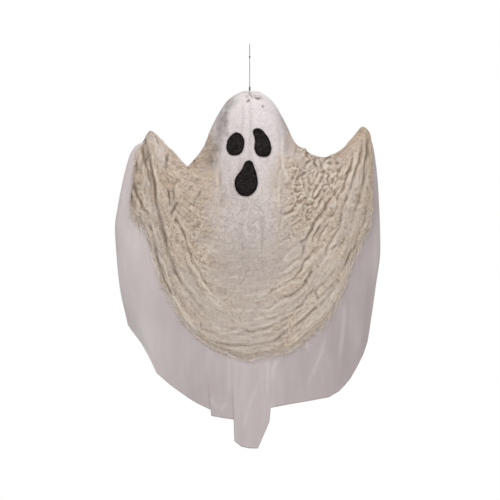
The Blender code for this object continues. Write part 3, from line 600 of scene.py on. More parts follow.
def smoothRoute(points, parts=6):
    # a cubic through the points, each span weighted by its four neighbours
    nodes = np.array(points, float)
    nodes = np.concatenate([2 * nodes[:1] - nodes[1:2], nodes, 2 * nodes[-1:] - nodes[-2:-1]])
    t = (np.arange(parts) / parts)[:, None]
    a, b, c, d = (nodes[k:len(nodes) - 3 + k, None] for k in range(4))
    run = 0.5 * (2 * b + (c - a) * t + (2 * a - 5 * b + 4 * c - d) * t**2 + (3 * b - a - 3 * c + d) * t**3)
    return np.concatenate([run.reshape(-1, nodes.shape[1]), nodes[-2:-1]])


def lineGap(place, points, reach):
    # for the places within reach of a drawn line: a mask, their distance from it and how far along
    route = fromPhoto(smoothRoute(points))
    near = np.all((place > route.min(0) - reach) & (place < route.max(0) + reach), axis=-1)
    span = np.diff(route, axis=0)
    offset = place[near][:, None] - route[None, :-1]
    share = np.clip(np.sum(offset * span, axis=-1) / np.sum(span**2, axis=-1), 0, 1)
    gap = np.linalg.norm(offset - share[..., None] * span, axis=-1)
    pick = np.argmin(gap, axis=1)
    row = np.arange(len(pick))
    return near, gap[row, pick], (pick + share[row, pick]) / len(span)


def creaseField(spot):
    # beside each crease the cloth sinks by depth * exp(-distance / width) and swells a little
    # further off; both fade at the crease's ends and vary along it
    behind = ease(spot[..., 1], -0.01, 0.01)  # the back has the same creases, a little lower
    lower = np.stack([0 * behind, gauzeFolds["backLower"] * spot[..., 2] * behind], axis=-1)
    place = spot[..., [0, 2]] - lower
    wobble = np.stack([cloud(spot * 70, 40), cloud(spot * 70, 41)], axis=-1)
    place = place + creaseForm["wobble"] * photo["pixel"] * wobble
    uneven = np.clip(0.75 + 0.75 * cloud(spot * 60, 42), 0.15, 1.5)
    sink = np.zeros(spot.shape[:-1])
    for depth, width, points in creases.values():
        width = width * photo["pixel"]
        near, gap, along = lineGap(place, points, 6 * width)
        fade = ease(along, -0.08, 0.18) * (1 - ease(along, 0.75, 1.05))
        fade = fade * (1 - creaseForm["narrowing"] * along) * uneven[near]
        gap = gap / width
        lip = creaseForm["lip"] * np.exp(-(gap - creaseForm["lipAway"])**2)
        sink[near] += creaseForm["depth"] * depth * fade * (np.exp(-gap**1.3) - lip)
    for centre, radius, depth in pits:
        gap = np.linalg.norm(place - fromPhoto(centre), axis=-1) / (radius * photo["pixel"])
        sink += creaseForm["pitDepth"] * depth * np.exp(-gap**2)
    return sink


def swag(x, z):
    # the folds hang as swags between the hands: (level - z) / (1 - (x / half)**power) is the same
    # all along one swag
    left, right = fromPhoto(hands["left"]), fromPhoto(hands["right"])
    half = np.where(x < 0, -left[0], right[0]) + 0.018
    share = np.minimum(np.abs(x) / half, 0.97)
    level = left[1] + (right[1] - left[1]) * (x - left[0]) / (right[0] - left[0]) + 0.012
    return (level - z) / (1 - share**np.where(x < 0, 3.6, 2.6))


def foldDirection(spot):
    # runs across the slope of the swag value
    step = 0.0005
    x, z = spot[..., 0], spot[..., 2]
    slopeX = swag(x + step, z) - swag(x - step, z)
    slopeZ = swag(x, z + step) - swag(x, z - step)
    size = np.hypot(slopeX, slopeZ) + 1e-9
    return np.stack([slopeZ / size, 0 * x, -slopeX / size], axis=-1)


def pinched(noise):
    # ridges where the noise crosses zero: 1 on the line, falling off quickly beside it
    return (1 - np.minimum(np.abs(noise), 1.0))**2.2


def streaks(spot, size, reach, seed):
    # a cloud averaged along the direction of the folds, so that it draws out into long wrinkles
    direction = foldDirection(spot)
    steps = np.linspace(-1, 1, 13)
    total = sum((1 - 0.5 * abs(t)) * cloud((spot + t * reach * direction) / size, seed) for t in steps)
    return total / 1.5


def gauzeHeight(ring, angle, spot, stretch):
    # height of the gauze over the voile: the slip under it and all its folds
    fold = gauzeFolds
    s, c = np.sin(angle), np.cos(angle)
    front = ease(-s, -0.02, 0.06)
    end = gauzeEnd(angle)
    down = np.clip((ring - equator) / (end - equator), 0, 1)
    side = ease(np.abs(c), 0.25, 0.6)
    lift = gauzeLift + form["ease"] * ease(ring, 0.10, 0.18)
    # swag pleats: rounded backs with sharp valleys, drawn together towards the hands
    wander = (1.1 + 0.8 * ease(s, -0.1, 0.2)) * (cloud(spot * 11, 3) + 0.45 * cloud(spot * 27, 4))
    pleat = np.abs(np.sin(pi * (fold["pleats"] * down + wander)))**0.75
    height = fold["frontHeight"] + (fold["backHeight"] - fold["frontHeight"]) * ease(s, -0.1, 0.2)
    height = np.minimum(height, 0.32 * stretch * (end - equator) / fold["pleats"])
    height = height * ease(down, 0.42 - 0.34 * side, 0.62 - 0.34 * side)
    height = height * np.clip(0.55 + 0.8 * cloud(spot * 12, 5), 0.05, 1.3)
    lift = lift + height * pleat
    # thin wrinkles drawn out along the swags, few of them over the face and the belly
    x, z = spot[..., 0], spot[..., 2]
    column = 1 - ease(np.abs(x), 0.035, 0.080)
    calm = 1 - 0.85 * column * (1 - ease(-z, 0.37, 0.44))
    rightSide = ease(x, 0.03, 0.09)
    patchy = 0.7 + 0.5 * cloud(spot * 20, 15)
    strength = fold["streakHeight"] * calm * ease(down, 0.05, 0.35) * patchy * (1 - 0.3 * rightSide)
    strength = strength * (1 - 0.35 * ease(-z, 0.26, 0.36))
    long = pinched(streaks(spot, fold["streakSize"], fold["streakReach"], 13))
    short = pinched(streaks(spot, fold["streakSize"] * 0.55, fold["streakReach"] * 0.6, 14))
    lift = lift + strength * (long + 0.45 * short)
    # crumpled spots: thin crooked ridges with valleys between them
    place = np.stack([x, z], axis=-1)
    weight = np.zeros(ring.shape)
    for centre, radius, size in crumples:
        gap = np.linalg.norm(place - fromPhoto(centre), axis=-1) / (radius * photo["pixel"])
        weight = np.maximum(weight, size * np.exp(-gap**2))
    weight = weight * (0.7 + 0.3 * front) + fold["backCrumple"] * (1 - front) * ease(down, 0.1, 0.5)
    warp = np.stack([cloud(spot * 60, seed) for seed in (6, 7, 8)], axis=-1)
    slant = unit(np.array(fold["slant"]))
    bent = spot - fold["slanting"] * np.sum(spot * slant, axis=-1, keepdims=True) * slant
    bent = bent + 0.25 * fold["streakReach"] * foldDirection(spot) * cloud(spot * 90, 17)[..., None]
    coarse = pinched(1.6 * cloud(bent / fold["crumpleSize"] + 0.7 * warp, 9))
    fine = pinched(1.6 * cloud(bent / fold["crumpleSize"] * 1.9 + 0.6 * warp, 10))
    valley = pinched(1.3 * cloud(bent / fold["crumpleSize"] * 1.3 + 0.8 * warp, 16))**1.5
    patch = np.clip(0.55 + 0.8 * cloud(spot * 55, 19), 0, 1.3)
    lift = lift + weight * (coarse * patch + 0.6 * fine * (1.2 - patch) - 0.6 * valley * (1.3 - 0.6 * patch))
    # fine crinkle all over, less on the head
    crinkle = cloud(spot / fold["crinkleSize"], 11) + 0.6 * cloud(spot / fold["crinkleSize"] * 2, 12)
    lift = lift + fold["crinkle"] * (0.2 + 0.8 * ease(down, 0.1, 0.4) * calm) * crinkle
    # little gathers under the crown knot and ridges along the raw edge
    gather = np.abs(np.sin(fold["gathers"] / 2 * angle + 0.7 * np.sin(3 * angle)))
    lift = lift + fold["gatherHeight"] * gather * (1 - ease(ring, 0.02, 0.075)) * ease(ring, 0.0, 0.012)
    tuft = np.exp(-((ring - 0.006) / 0.009)**2) * (0.7 + 0.3 * gather + 0.3 * cloud(spot * 260, 18))
    lift = lift + fold["tuftHeight"] * tuft
    for centre, radius, size in lumps:
        gap = np.linalg.norm(place - fromPhoto(centre), axis=-1) / (radius * photo["pixel"])
        lift = lift + size * np.exp(-gap**2)
    edge = (end - ring) * stretch
    rough = np.clip(0.5 + 0.8 * cloud(spot * 48, 26), 0, 1.2)
    for (high, away, wide), share in zip(hemRidges, (rough, 1.2 - rough)):
        lift = lift + high * share * np.exp(-((edge - away) / wide)**2)
    # less of everything at the very tips of the hands
    tips = [np.linalg.norm(place - fromPhoto(hands[name]), axis=-1) for name in hands]
    near = np.exp(-(np.minimum(*tips) / fold["tipSize"])**2)
    lift = gauzeLift + (lift - gauzeLift) * (1 - 0.75 * near)
    lift = lift - creaseField(spot) * (front + 0.8 * ease(s, 0.02, 0.10)) * (1 - 0.6 * near)
    pressed = np.zeros(ring.shape)
    for centre, radius in feltSpots:
        gap = np.linalg.norm(place - fromPhoto(centre), axis=-1) / (radius * photo["pixel"])
        pressed = np.maximum(pressed, 1 - ease(gap, 0.8, 1.3))
    level = gauzeLift + form["ease"]
    return np.maximum(level + (lift - level) * (1 - 0.85 * pressed * front), fold["thinnest"])


def gauzeSurface(ring, angle):
    # the drape moved out along its normal by the height of the gauze
    spot, normal, stretch = drapeFrame(ring, angle)
    lift = gauzeHeight(ring, angle, spot, stretch)
    return spot + lift[..., None] * normal, normal, lift


def blurGrid(values, passes):
    # each pass gives a point half of itself and a quarter of each neighbour, both ways
    for _ in range(passes):
        values = (2 * values + np.roll(values, 1, 1) + np.roll(values, -1, 1)) / 4
        padded = np.concatenate([values[:1], values, values[-1:]])
        values = (padded[:-2] + 2 * values + padded[2:]) / 4
    return values


# Greyer bands and spots, dirt and painted shade along the creases, between folds and down the sides of the head:
# width in pixels, strength, and a line through pixels
dirtAndShade = (
    (7.0, 0.72, ((229, 101), (222, 112), (221, 122), (220, 132), (216, 146), (213, 162))),
    (5.0, 0.42, ((216, 120), (212, 140), (208, 160))),
    (4.0, 0.8, ((226, 114), (224.5, 124), (225, 134))),
    (3.5, 0.16, ((225, 150), (224, 172), (223, 200))),
    (2.2, 0.2, ((250.5, 104), (250.5, 130), (250, 162))),
    (2.2, 0.22, ((243, 106), (243, 122), (242, 134))),
    (2.5, 0.22, ((241, 160), (240, 172), (239, 186))),
    (4.0, 0.4, ((282, 112), (285, 132), (286, 150))),
    (1.3, 0.95, ((249.8, 94.6), (251.2, 96.8), (252.6, 98))),
    (0.9, 1.2, ((249.2, 92.6), (249.8, 93.4), (250.2, 94))),
    (0.9, 1.4, ((255.5, 98.3), (258, 99.2), (259.6, 98.6))),
    (0.9, 1.3, ((247.6, 102.2), (248.2, 101.8), (248.8, 101.2))),
    (1.0, 0.5, ((246, 96), (247, 97.5), (248, 98))),
    (0.8, 1.2, ((262.2, 107.3), (262.5, 107.6), (262.8, 107.7))),
    (1.2, 0.5, ((254, 96), (258, 96.5), (262, 99))),
    (0.7, 0.6, ((242.4, 107.3), (242.7, 107.5), (243, 107.6))),
    (1.5, 0.3, ((240, 93.6), (235, 97), (230, 101))),
    (2.6, 0.5, ((150, 160), (155, 188), (158, 206), (162, 228), (166.4, 242), (171, 258), (176, 272))),
    (3.0, 0.55, ((143.6, 144), (146.4, 154), (149, 165), (152, 176))),
    (2.2, 0.4, ((154, 184), (156, 197), (159, 211), (163, 224))),
    (1.5, 0.6, ((166.8, 156), (166.4, 163), (166.4, 170))),
    (1.1, 0.85, ((168.3, 190.5), (169.4, 196), (170.7, 205))),
    (1.1, 0.6, ((174, 188), (174.2, 194), (174, 200))),
    (1.2, 0.75, ((177.9, 203.3), (174, 209), (172.1, 214.2))),
    (1.6, 0.75, ((132.2, 181), (134.6, 186), (136.5, 190.6))),
    (1.1, 0.85, ((130.9, 193.2), (131.8, 196), (132.6, 199.5))),
    (1.2, 0.75, ((136.5, 165), (136.8, 167.5), (137.2, 170))),
    (1.3, 2.0, ((145, 140.4), (145.4, 141.2), (145.6, 142))),
    (1.9, 0.65, ((155.5, 249), (159, 262), (163.5, 275), (167, 284), (170.7, 291))),
    (2.2, 0.3, ((186, 262), (192, 272), (198, 283), (204, 292))),
    (4.0, 0.16, ((226, 150), (229, 172), (236, 200))),
    (1.8, 0.15, ((244, 200), (242, 230), (243, 262))),
    (1.6, 0.15, ((263, 210), (262, 230), (263, 250))),
    (2.0, 0.18, ((325, 205), (318, 216), (311, 228), (303, 245))),
    (12.0, 0.12, ((233, 120), (236, 135), (232, 150))),
    (17.0, 0.19, ((228, 258), (250, 262), (272, 262))),
    (1.0, 1.4, ((309, 150), (309.6, 151.2), (310.2, 152.4))),
)


# Light threads and painted highlights along ridges, given like the dirt and shade
paleHighlight = (
    (1.1, 0.8, ((282, 138), (282, 152), (282.7, 164.5), (279, 184), (278.5, 205))),
    (1.0, 0.9, ((282.7, 164.5), (284, 171), (287, 178))),
    (1.1, 1.0, ((294.7, 148), (292, 155), (289.8, 162))),
    (2.2, 1.1, ((325, 167.4), (325.8, 167.7), (326.4, 168))),
    (1.2, 0.9, ((330.5, 159.5), (328, 161), (326, 161.4))),
    (1.2, 0.9, ((320.2, 187.8), (317, 191), (313.7, 195))),
    (1.2, 0.7, ((343, 181), (340.5, 188), (337.6, 194.3))),
    (1.1, 0.7, ((334, 203), (334.4, 207), (333.4, 211))),
    (1.2, 0.7, ((334.3, 217), (330, 219), (327, 222))),
    (1.1, 0.8, ((315, 214.5), (312.5, 216.5), (310.4, 218.3))),
    (1.0, 0.9, ((304, 206.8), (307, 207.4), (310.4, 206.6))),
    (1.1, 0.6, ((289.8, 197), (287, 199.5), (285, 201.5))),
    (1.0, 0.7, ((307, 190), (307.8, 194), (307, 197.6))),
    (1.4, 0.9, ((318, 164.6), (318.4, 165.4), (318.8, 166))),
    (2.4, 0.5, ((155.7, 136.6), (160, 141.5), (165, 147))),
    (1.1, 0.5, ((150.7, 148), (152.6, 161), (155.8, 176))),
    (1.0, 0.9, ((258.7, 296.4), (264.6, 294.2), (273.4, 292), (283, 287), (298.3, 278))),
    (1.0, 0.9, ((260.9, 309.6), (269, 309.6), (274.8, 306), (285.8, 298.6))),
    (1.0, 0.9, ((255, 319.2), (272, 315.5), (280.7, 312.6), (294.6, 308.2))),
    (1.0, 0.8, ((261.6, 325), (273.4, 322), (279.2, 318.5))),
    (1.0, 0.6, ((217, 327.3), (226, 329), (238, 331))),
    (1.1, 0.8, ((200, 277.4), (206, 285.4), (213.2, 294.2), (219, 299.4))),
    (1.0, 0.6, ((202.2, 292), (212.5, 300), (219.8, 306))),
    (1.1, 0.7, ((190.5, 262), (195.4, 270.4), (203, 279.5))),
    (1.0, 0.6, ((243.3, 218), (249, 216.6), (255.8, 217.2))),
    (1.0, 0.8, ((286.6, 228.2), (291, 224), (294.6, 221))),
    (1.0, 0.7, ((294, 250), (288, 254), (284, 260))),
    (1.0, 0.7, ((296, 262), (290, 268), (285, 272))),
    (1.2, 0.8, ((158.2, 254.2), (164.6, 264), (167.4, 273.2), (171, 286.5))),
    (1.3, 0.8, ((173.7, 295.6), (183.5, 311.8), (193.3, 325.8), (201, 336.3))),
    (1.2, 0.6, ((160.4, 273.2), (163.2, 286.5), (168, 297.7))),
    (1.1, 0.6, ((140, 186), (146, 202), (152, 214))),
    (1.8, 0.45, ((359, 166), (353, 190), (346, 212), (337, 234), (326, 252))),
    (2.0, 0.45, ((366, 180), (361, 206), (352, 232), (340, 254), (328, 270))),
    (1.3, 0.7, ((313, 254), (309, 259.5), (304.3, 264.4))),
    (1.3, 0.7, ((329.7, 254), (324.8, 259.5), (320, 266))),
    (1.2, 0.7, ((338.5, 244.6), (332.7, 250.5), (330, 254))),
    (1.3, 0.6, ((327, 227.5), (323.5, 235), (319, 243))),
    (1.1, 0.6, ((314, 292), (309, 298), (304, 304), (298, 308.5))),
    (2.2, 0.4, ((371, 190), (369, 212), (363, 232))),
    (1.4, 0.45, ((357, 150), (353, 166), (349, 180))),
    (3.2, 0.4, ((352, 262), (342, 282), (330, 300), (318, 315), (304, 327))),
    (1.2, 0.7, ((152, 222), (156, 236), (160, 248))),
    (1.4, 0.5, ((215, 236), (212, 246), (206, 254))),
)
# Paler, greyer bands of cloth between the tan ones, given like the dirt and shade
cleaner = (
    (7.0, 0.55, ((352, 180), (350, 205), (344, 228), (334, 248))),
    (12.0, 0.6, ((330, 262), (315, 285), (296, 306), (270, 322))),
    (10.0, 0.7, ((300, 240), (290, 262), (276, 280))),
    (12.0, 0.6, ((222, 240), (224, 262), (232, 285))),
    (26.0, 0.85, ((250, 268), (250, 290), (248, 312))),
    (12.0, 0.8, ((212, 300), (228, 318), (250, 326), (275, 320))),
    (5.0, 0.7, ((172, 262), (181, 285), (196, 308))),
    (7.0, 0.7, ((186, 275), (196, 294), (212, 316), (236, 334))),
    (4.0, 0.5, ((148, 178), (150, 200), (156, 222))),
    (5.0, 0.7, ((152, 137), (157, 146), (163, 160))),
    (6.0, 0.35, ((205, 190), (212, 215), (216, 240))),
    (7.0, 0.35, ((290, 140), (296, 155), (304, 170))),
    (6.0, 0.7, ((338, 284), (326, 300), (313, 315), (300, 326))),
)


def lineField(points, lines):
    # strength * exp(-(distance / width)**2) of the strongest line, on the front only and uneven
    shift = np.stack([cloud(points * 160, 22), cloud(points * 160, 23)], axis=-1)
    place = points[..., [0, 2]] + 0.0012 * shift
    field = np.zeros(points.shape[:-1])
    for width, strength, line in lines:
        width = width * photo["pixel"]
        near, gap, _ = lineGap(place, line, 3 * width)
        field[near] = np.maximum(field[near], strength * np.exp(-(gap / width)**2))
    uneven = 0.78 + 0.26 * cloud(points * 90, 24) + 0.2 * cloud(points * 220, 25)
    return np.clip(field * uneven, 0, 1) * ease(-points[..., 1], -0.01, 0.01)


def gauzeMarks(points):
    # tan wash over the arms, the sides and the edge, and clean cloth down the middle
    x, z = points[..., 0], points[..., 2]
    wander = cloud(points * 30, 20) + 0.5 * cloud(points * 75, 21)
    column = 1 - ease(np.abs(x + 0.002) + 0.008 * wander, 0.026, 0.075)
    lowEdge = 0.72 * ease(-z + 0.010 * wander, 0.36, 0.46)
    head = 1 - ease(-z, 0.13, 0.22)
    wash = 1 - np.clip(column * (1 - lowEdge) + 0.9 * head * (1 - ease(np.abs(x), 0.05, 0.08)), 0, 1)
    clean = lineField(points, cleaner)
    band = streaks(points, 0.022, 0.05, 27)
    wash = wash * (1 - 0.75 * clean) * (0.92 + 0.18 * wander + 0.20 * band * ease(-z, 0.28, 0.36))
    # greyer bands of dirt and painted shade, and lines of painted highlight
    return {"wash": np.clip(wash, 0, 1), "dim": ease(-z, 0.10, 0.40), "dirtAndShade": lineField(points, dirtAndShade),
            "paleHighlight": lineField(points, paleHighlight), "swag": np.clip(swag(x, z), -0.2, 2.0)}


# the cloth's own colours, and the colours of its painted shade and painted highlights
gauzeColours = {
    "head": (253, 243, 244), "belly": (221, 206, 197), "grain": (190, 180, 172), "tanDark": (196, 173, 150),
    "tanLight": (247, 228, 208), "warm": (208, 180, 150), "lilac": (214, 199, 193), "cream": (255, 243, 226),
    "speck": (138, 115, 95), "strandLight": (242, 229, 213), "strandDark": (142, 122, 105),
    "crackleLit": (238, 226, 212), "crackleShaded": (140, 125, 113), "dirtAndShade": (112, 101, 92),
    "ridge": (246, 233, 215), "creaseStainAndShade": (118, 97, 80), "paleHighlight": (250, 240, 226)}


def makeGauzeMaterial():
    net = Net("gauze")
    colour = {name: shade(*value) for name, value in gauzeColours.items()}
    place, cloth = net.object(), net.cloth()
    wash, creaseStainAndShade, ridge, dim = (net.mark(name) for name in ("wash", "creaseStainAndShade", "ridge", "dim"))
    blotch, grain = net.noise(place, 60, 4, 0.6), net.noise(place, 420, 3, 0.65)
    fine, speck = net.noise(place, 800, 2, 0.6), net.noise(place, 330, 3, 0.7)
    # strands that follow the folds: noise drawn out along the swags
    across, deep = (net.part(place, name) * 0.14 for name in "XY")
    along = net.node("ShaderNodeCombineXYZ", {}, {0: net.mark("swag"), 1: across, 2: deep})
    strand = net.noise(along, 190, 4, 0.6, 0.25)
    # a crackle of thin creases, each painted as a shaded line beside a lit one
    crackle = net.noise(place, 105, 4, 0.6, 1.0)
    litLine, shadedLine = crackle.band(0.53, 0.035), crackle.band(0.47, 0.03)
    low = dim.eased(0.75, 1.0)
    wrinkled = dim * 0.8 + 0.2 - low * 0.4
    clean = net.mix(dim, colour["head"], colour["belly"])
    clean = net.mix(grain.eased(0.35, 0.7) * 0.35, clean, colour["grain"])
    tan = net.mix(grain.eased(0.3, 0.7), colour["tanDark"], colour["tanLight"])
    tanLayers = ((dim.eased(0.9, 0.4) * 0.45, "warm"), (blotch.eased(0.45, 0.75) * 0.7, "lilac"),
                 (speck.eased(0.32, 0.22) * 0.5, "cream"), (speck.eased(0.53, 0.68) * 0.75, "speck"))
    for share, name in tanLayers:
        tan = net.mix(share, tan, colour[name])
    base = net.mix(wash, clean, tan)
    # over the base: light and dark strands, the crackle's painted highlight and shade, dirt with painted shade,
    # painted highlight with wear on ridges, painted shade with stain in valleys, and painted highlights
    layers = ((strand.eased(0.54, 0.66) * (wash * 0.25 + low * 0.30 + 0.1), "strandLight"),
              (strand.eased(0.46, 0.36) * (wash * 0.34 + 0.08), "strandDark"),
              (litLine * wrinkled * 0.48, "crackleLit"), (shadedLine * wrinkled * 0.46, "crackleShaded"),
              (net.mark("dirtAndShade"), "dirtAndShade"), (ridge * (wash * 0.5 + 0.2), "ridge"),
              (creaseStainAndShade * (wash * 0.42 + 0.33), "creaseStainAndShade"), (net.mark("paleHighlight") * 0.75, "paleHighlight"))
    for share, name in layers:
        base = net.mix(share, base, colour[name])
    threads = net.ribs(cloth, "X", 330) + net.ribs(cloth, "Y", 330)
    crinkle = net.noise(place, 230, 4, 0.6, 0.4)
    height = threads * 0.12 + (crinkle + grain * 0.8) * (wash * 0.7 + 0.3) + fine * 0.3
    height = height + strand * (wash * 0.7 + low * 0.4 + 0.1) + (litLine - shadedLine) * wrinkled * 0.35
    return net.surface({"Base Color": base, "Roughness": 0.95, "Specular IOR Level": 0.2,
                        "Normal": net.bump(height, 0.0011)})


# Depths and heights in metres at which the painted shade with stain in the valleys and the painted highlight with
# wear on the ridges are full
gauzeShading = {"nearPasses": 4, "farPasses": 30, "nearDepth": 0.0003, "farDepth": 0.001, "ridge": 0.0008,
                "crease": 0.0018, "roughAt": (314, 184), "roughReach": 0.055}


def makeGauze():
    fold, shading = gauzeFolds, gauzeShading
    angle = spreadAngles(fold["frontColumns"], fold["backColumns"])
    crown = np.linspace(firstRing, equator, fold["crownRows"], endpoint=False)[:, None] + 0 * angle
    way = np.linspace(0, 1, fold["rows"])[:, None]
    gather = 1.0 + 0.11 * np.cos(angle)**4
    swags = equator + (gauzeEnd(angle) - equator) * (1 - (1 - way)**gather)
    ring = np.concatenate([crown, swags])
    points, _, lift = gauzeSurface(ring, angle + 0 * ring)
    # painted shade, with the tan wash settled there, goes in the valleys, which lie under the smoothed height, and a
    # painted highlight, with worn cloth, on the ridges over it; both are stronger in the roughest spot
    near, far = blurGrid(lift, shading["nearPasses"]), blurGrid(lift, shading["farPasses"])
    creaseStainAndShade = np.clip((near - lift) / shading["nearDepth"], 0, 1) * 0.45
    creaseStainAndShade = creaseStainAndShade + np.clip((far - lift) / shading["farDepth"] - 0.2, 0, 1) * 0.7
    ridge = np.clip((lift - far) / shading["ridge"] - 0.15, 0, 1)
    away = np.linalg.norm(points[..., [0, 2]] - fromPhoto(shading["roughAt"]), axis=-1)
    rough = np.exp(-(away / shading["roughReach"])**2)
    creaseStainAndShade, ridge = creaseStainAndShade * (1 + 0.7 * rough), ridge * (1 + 0.8 * rough)
    # the drawn creases get the painted shade too
    drawn = np.clip(creaseField(points) / shading["crease"], 0, 1)**1.3
    drawn = drawn * ease(np.abs(points[..., 1]), 0.002, 0.012)
    marks = {**gauzeMarks(points), "creaseStainAndShade": np.clip(np.maximum(creaseStainAndShade, 0.7 * drawn), 0, 1),
             "ridge": np.clip(ridge, 0, 1)}
    return addPiece("gauze", points, [gridFaces(*ring.shape)], makeGauzeMaterial(), ["gauze_drape"],
                    flatPlace(points, angle), marks)


voileFolds = {"frontColumns": 300, "backColumns": 110, "coveredRows": 40, "rows": 140, "softHeight": 0.0016,
              "lineHeight": 0.0010, "rollHeight": 0.0007, "stepNodes": (8, 9, 11, 12, 16, 17)}
voileColours = {"threadDark": (194, 183, 182), "threadLight": (214, 204, 202), "cloudy": (186, 174, 172),
                "paintedLight": (238, 226, 225), "shadow": (150, 136, 135), "sheen": (226, 216, 216),
                "hem": (160, 148, 148)}
# painted light and shade of the voile against x: lighter than its own colour above 0, darker below
voileLightAndShade = ((-0.225, 0.42), (-0.17, 0.38), (-0.1, 0.02), (-0.04, 0.0), (0.0, 0.14), (0.04, 0.06),
    (0.08, -0.1), (0.12, -0.1), (0.16, -0.3), (0.2, -0.24), (0.218, 0.1))
voileLines = (((229, 348), (229, 372), (229, 398)), ((267, 350), (267.5, 376), (267.5, 400)),
              ((259, 378), (252, 398), (245, 418), (240, 434)), ((326, 336), (319, 358), (306, 386)),
              ((307, 340), (307, 352)), ((209, 396), (219, 411)), ((228, 402), (220, 411)),
              ((282, 352), (274, 368), (270, 384)), ((345, 300), (343, 330), (338, 366)))


def voileFold(spot):
    # soft ridges along the lines of the photograph, as a share of their full height
    high = np.zeros(spot.shape[:-1])
    for points in voileLines:
        near, gap, along = lineGap(spot[..., [0, 2]], points, 0.015)
        fade = ease(along, -0.05, 0.3) * (1 - ease(along, 0.7, 1.05))
        high[near] = np.maximum(high[near], fade * np.exp(-(gap / (2.0 * photo["pixel"]))**2))
    return high * ease(-spot[..., 1], -0.01, 0.01)


def voileLift(ring, angle, spot, stretch):
    # soft upright folds below the gauze and a narrow rolled hem
    under = ease(ring, gauzeEnd(angle), gauzeEnd(angle) + 0.05)
    soft = cloud(spot * np.array([30, 30, 6]), 30) + 0.4 * cloud(spot * np.array([70, 70, 9]), 31)
    roll = voileFolds["rollHeight"] * np.exp(-(((1 - ring) * stretch - 0.0014) / 0.001)**2)
    high = voileFolds["softHeight"] * soft + voileFolds["lineHeight"] * voileFold(spot)
    return high * under + roll - 0.0006 * (1 - under)


def makeVoileMaterial():
    net = Net("voile")
    place, cloth = net.object(), net.cloth()
    streak = net.noise(net.stretched(place, (1.0, 1.0, 0.12)), 110, 3, 0.5)
    cloudy = net.noise(net.stretched(place, (1.0, 1.0, 0.4)), 26, 3, 0.5)
    colour = {name: shade(*value) for name, value in voileColours.items()}
    base = net.mix(streak, colour["threadDark"], colour["threadLight"])
    # painted light, painted shadow and a painted sheen along the fold ridges go over the threads' colour
    layers = ((cloudy.eased(0.3, 0.7) * 0.5, "cloudy"), (net.mark("paintedLight"), "paintedLight"),
              (net.mark("shadow"), "shadow"), (net.mark("sheen") * 0.35, "sheen"),
              (net.mark("hem") * 0.5, "hem"))
    for share, name in layers:
        base = net.mix(share, base, colour[name])
    threads = net.ribs(cloth, "X", 480) + net.ribs(cloth, "Y", 480)
    height = threads * 0.15 + streak * 0.5
    return net.surface({"Base Color": base, "Roughness": 0.8, "Specular IOR Level": 0.25,
                        "Normal": net.bump(height, 0.0004)})


def makeVoile():
    fold = voileFolds
    angle = spreadAngles(fold["frontColumns"], fold["backColumns"])
    # a column stands on each side of every step of the hem
    steps = -np.arccos(columns("voileHem")[0][list(fold["stepNodes"])])
    for step in steps:
        angle[np.argmin(np.abs(angle - step))] = step
    angle = np.sort(angle)
    end = gauzeEnd(angle)
    covered = np.linspace(0, 1, fold["coveredRows"])[:, None] * (end - 0.03 - firstRing) + firstRing
    bare = end - 0.03 + (1 - end + 0.03) * np.linspace(0, 1, fold["rows"] + 1)[1:, None]**0.95
    ring = np.concatenate([covered, bare])
    spot, normal, stretch = drapeFrame(ring, angle + 0 * ring)
    points = spot + voileLift(ring, angle, spot, stretch)[..., None] * normal
    # painted light on the left and painted shade on the right, varied by a random cloud
    wandering = spot[..., 0] + 0.012 * cloud(spot * np.array([22, 22, 7]), 33)
    paintedLight = np.interp(wandering, *zip(*voileLightAndShade))
    paintedLight = paintedLight * ease(-spot[..., 1], -0.02, 0.01) + 0.10 * cloud(spot * np.array([40, 40, 9]), 34)
    marks = {"hem": 1 - ease((1 - ring) * stretch, 0.0008, 0.0030), "sheen": voileFold(spot),
             "paintedLight": np.clip(paintedLight, 0, 1), "shadow": np.clip(-paintedLight, 0, 1)}
    return addPiece("voile", points, [gridFaces(*ring.shape)], makeVoileMaterial(), ["voile_drape"],
                    flatPlace(points, angle), marks)


gauze = makeGauze()
voile = makeVoile()
print("gauze and voile made", len(gauze.data.polygons), len(voile.data.polygons))

ball = {"radius": 0.050, "bore": 0.0018, "rows": 90, "columns": 140, "dent": 0.00018, "beads": 260.0,
        "light": (244, 243, 240), "dark": (222, 220, 216)}


def makeBall():
    # (sin(tilt) * cos(turn), sin(tilt) * sin(turn), cos(tilt)) times the dented radius, with its bore
    first = math.asin(ball["bore"] / ball["radius"])
    tilt = np.linspace(first, pi - first, ball["rows"])[:, None]
    turn = 2 * pi * np.arange(ball["columns"]) / ball["columns"]
    wide = np.sin(tilt)
    way = np.stack([wide * np.cos(turn), wide * np.sin(turn), np.cos(tilt) + 0 * turn], axis=-1)
    dent = ball["dent"] * np.abs(cloud(way * 16, 60)) * (np.sin(tilt) > 0.08)
    points = way * (ball["radius"] - dent)[..., None] + np.array([0, 0, centreZ])
    number = np.arange(ball["rows"] * ball["columns"]).reshape(ball["rows"], ball["columns"])
    top, low = number[0], number[-1]
    bore = np.stack([low, top, np.roll(top, -1), np.roll(low, -1)], axis=-1)
    net = Net("foam")
    place = net.object()
    beads = net.node("ShaderNodeTexVoronoi", {}, {"Vector": place, "Scale": ball["beads"]}, out="Distance")
    base = net.mix(beads.eased(0.2, 0.8), shade(*ball["light"]), shade(*ball["dark"]))
    look = net.surface({"Base Color": base, "Roughness": 0.75,
                        "Normal": net.bump(1.0 - beads, 0.0006)})
    return addPiece("foam_ball", points, [gridFaces(*points.shape[:2]), bore], look, ["head_ball"])


steel = {"radius": 0.0009, "eye": 0.0030, "sides": 14, "curl": 2.4, "spacing": 0.0011,
         "dark": (150, 151, 154), "light": (196, 197, 199)}


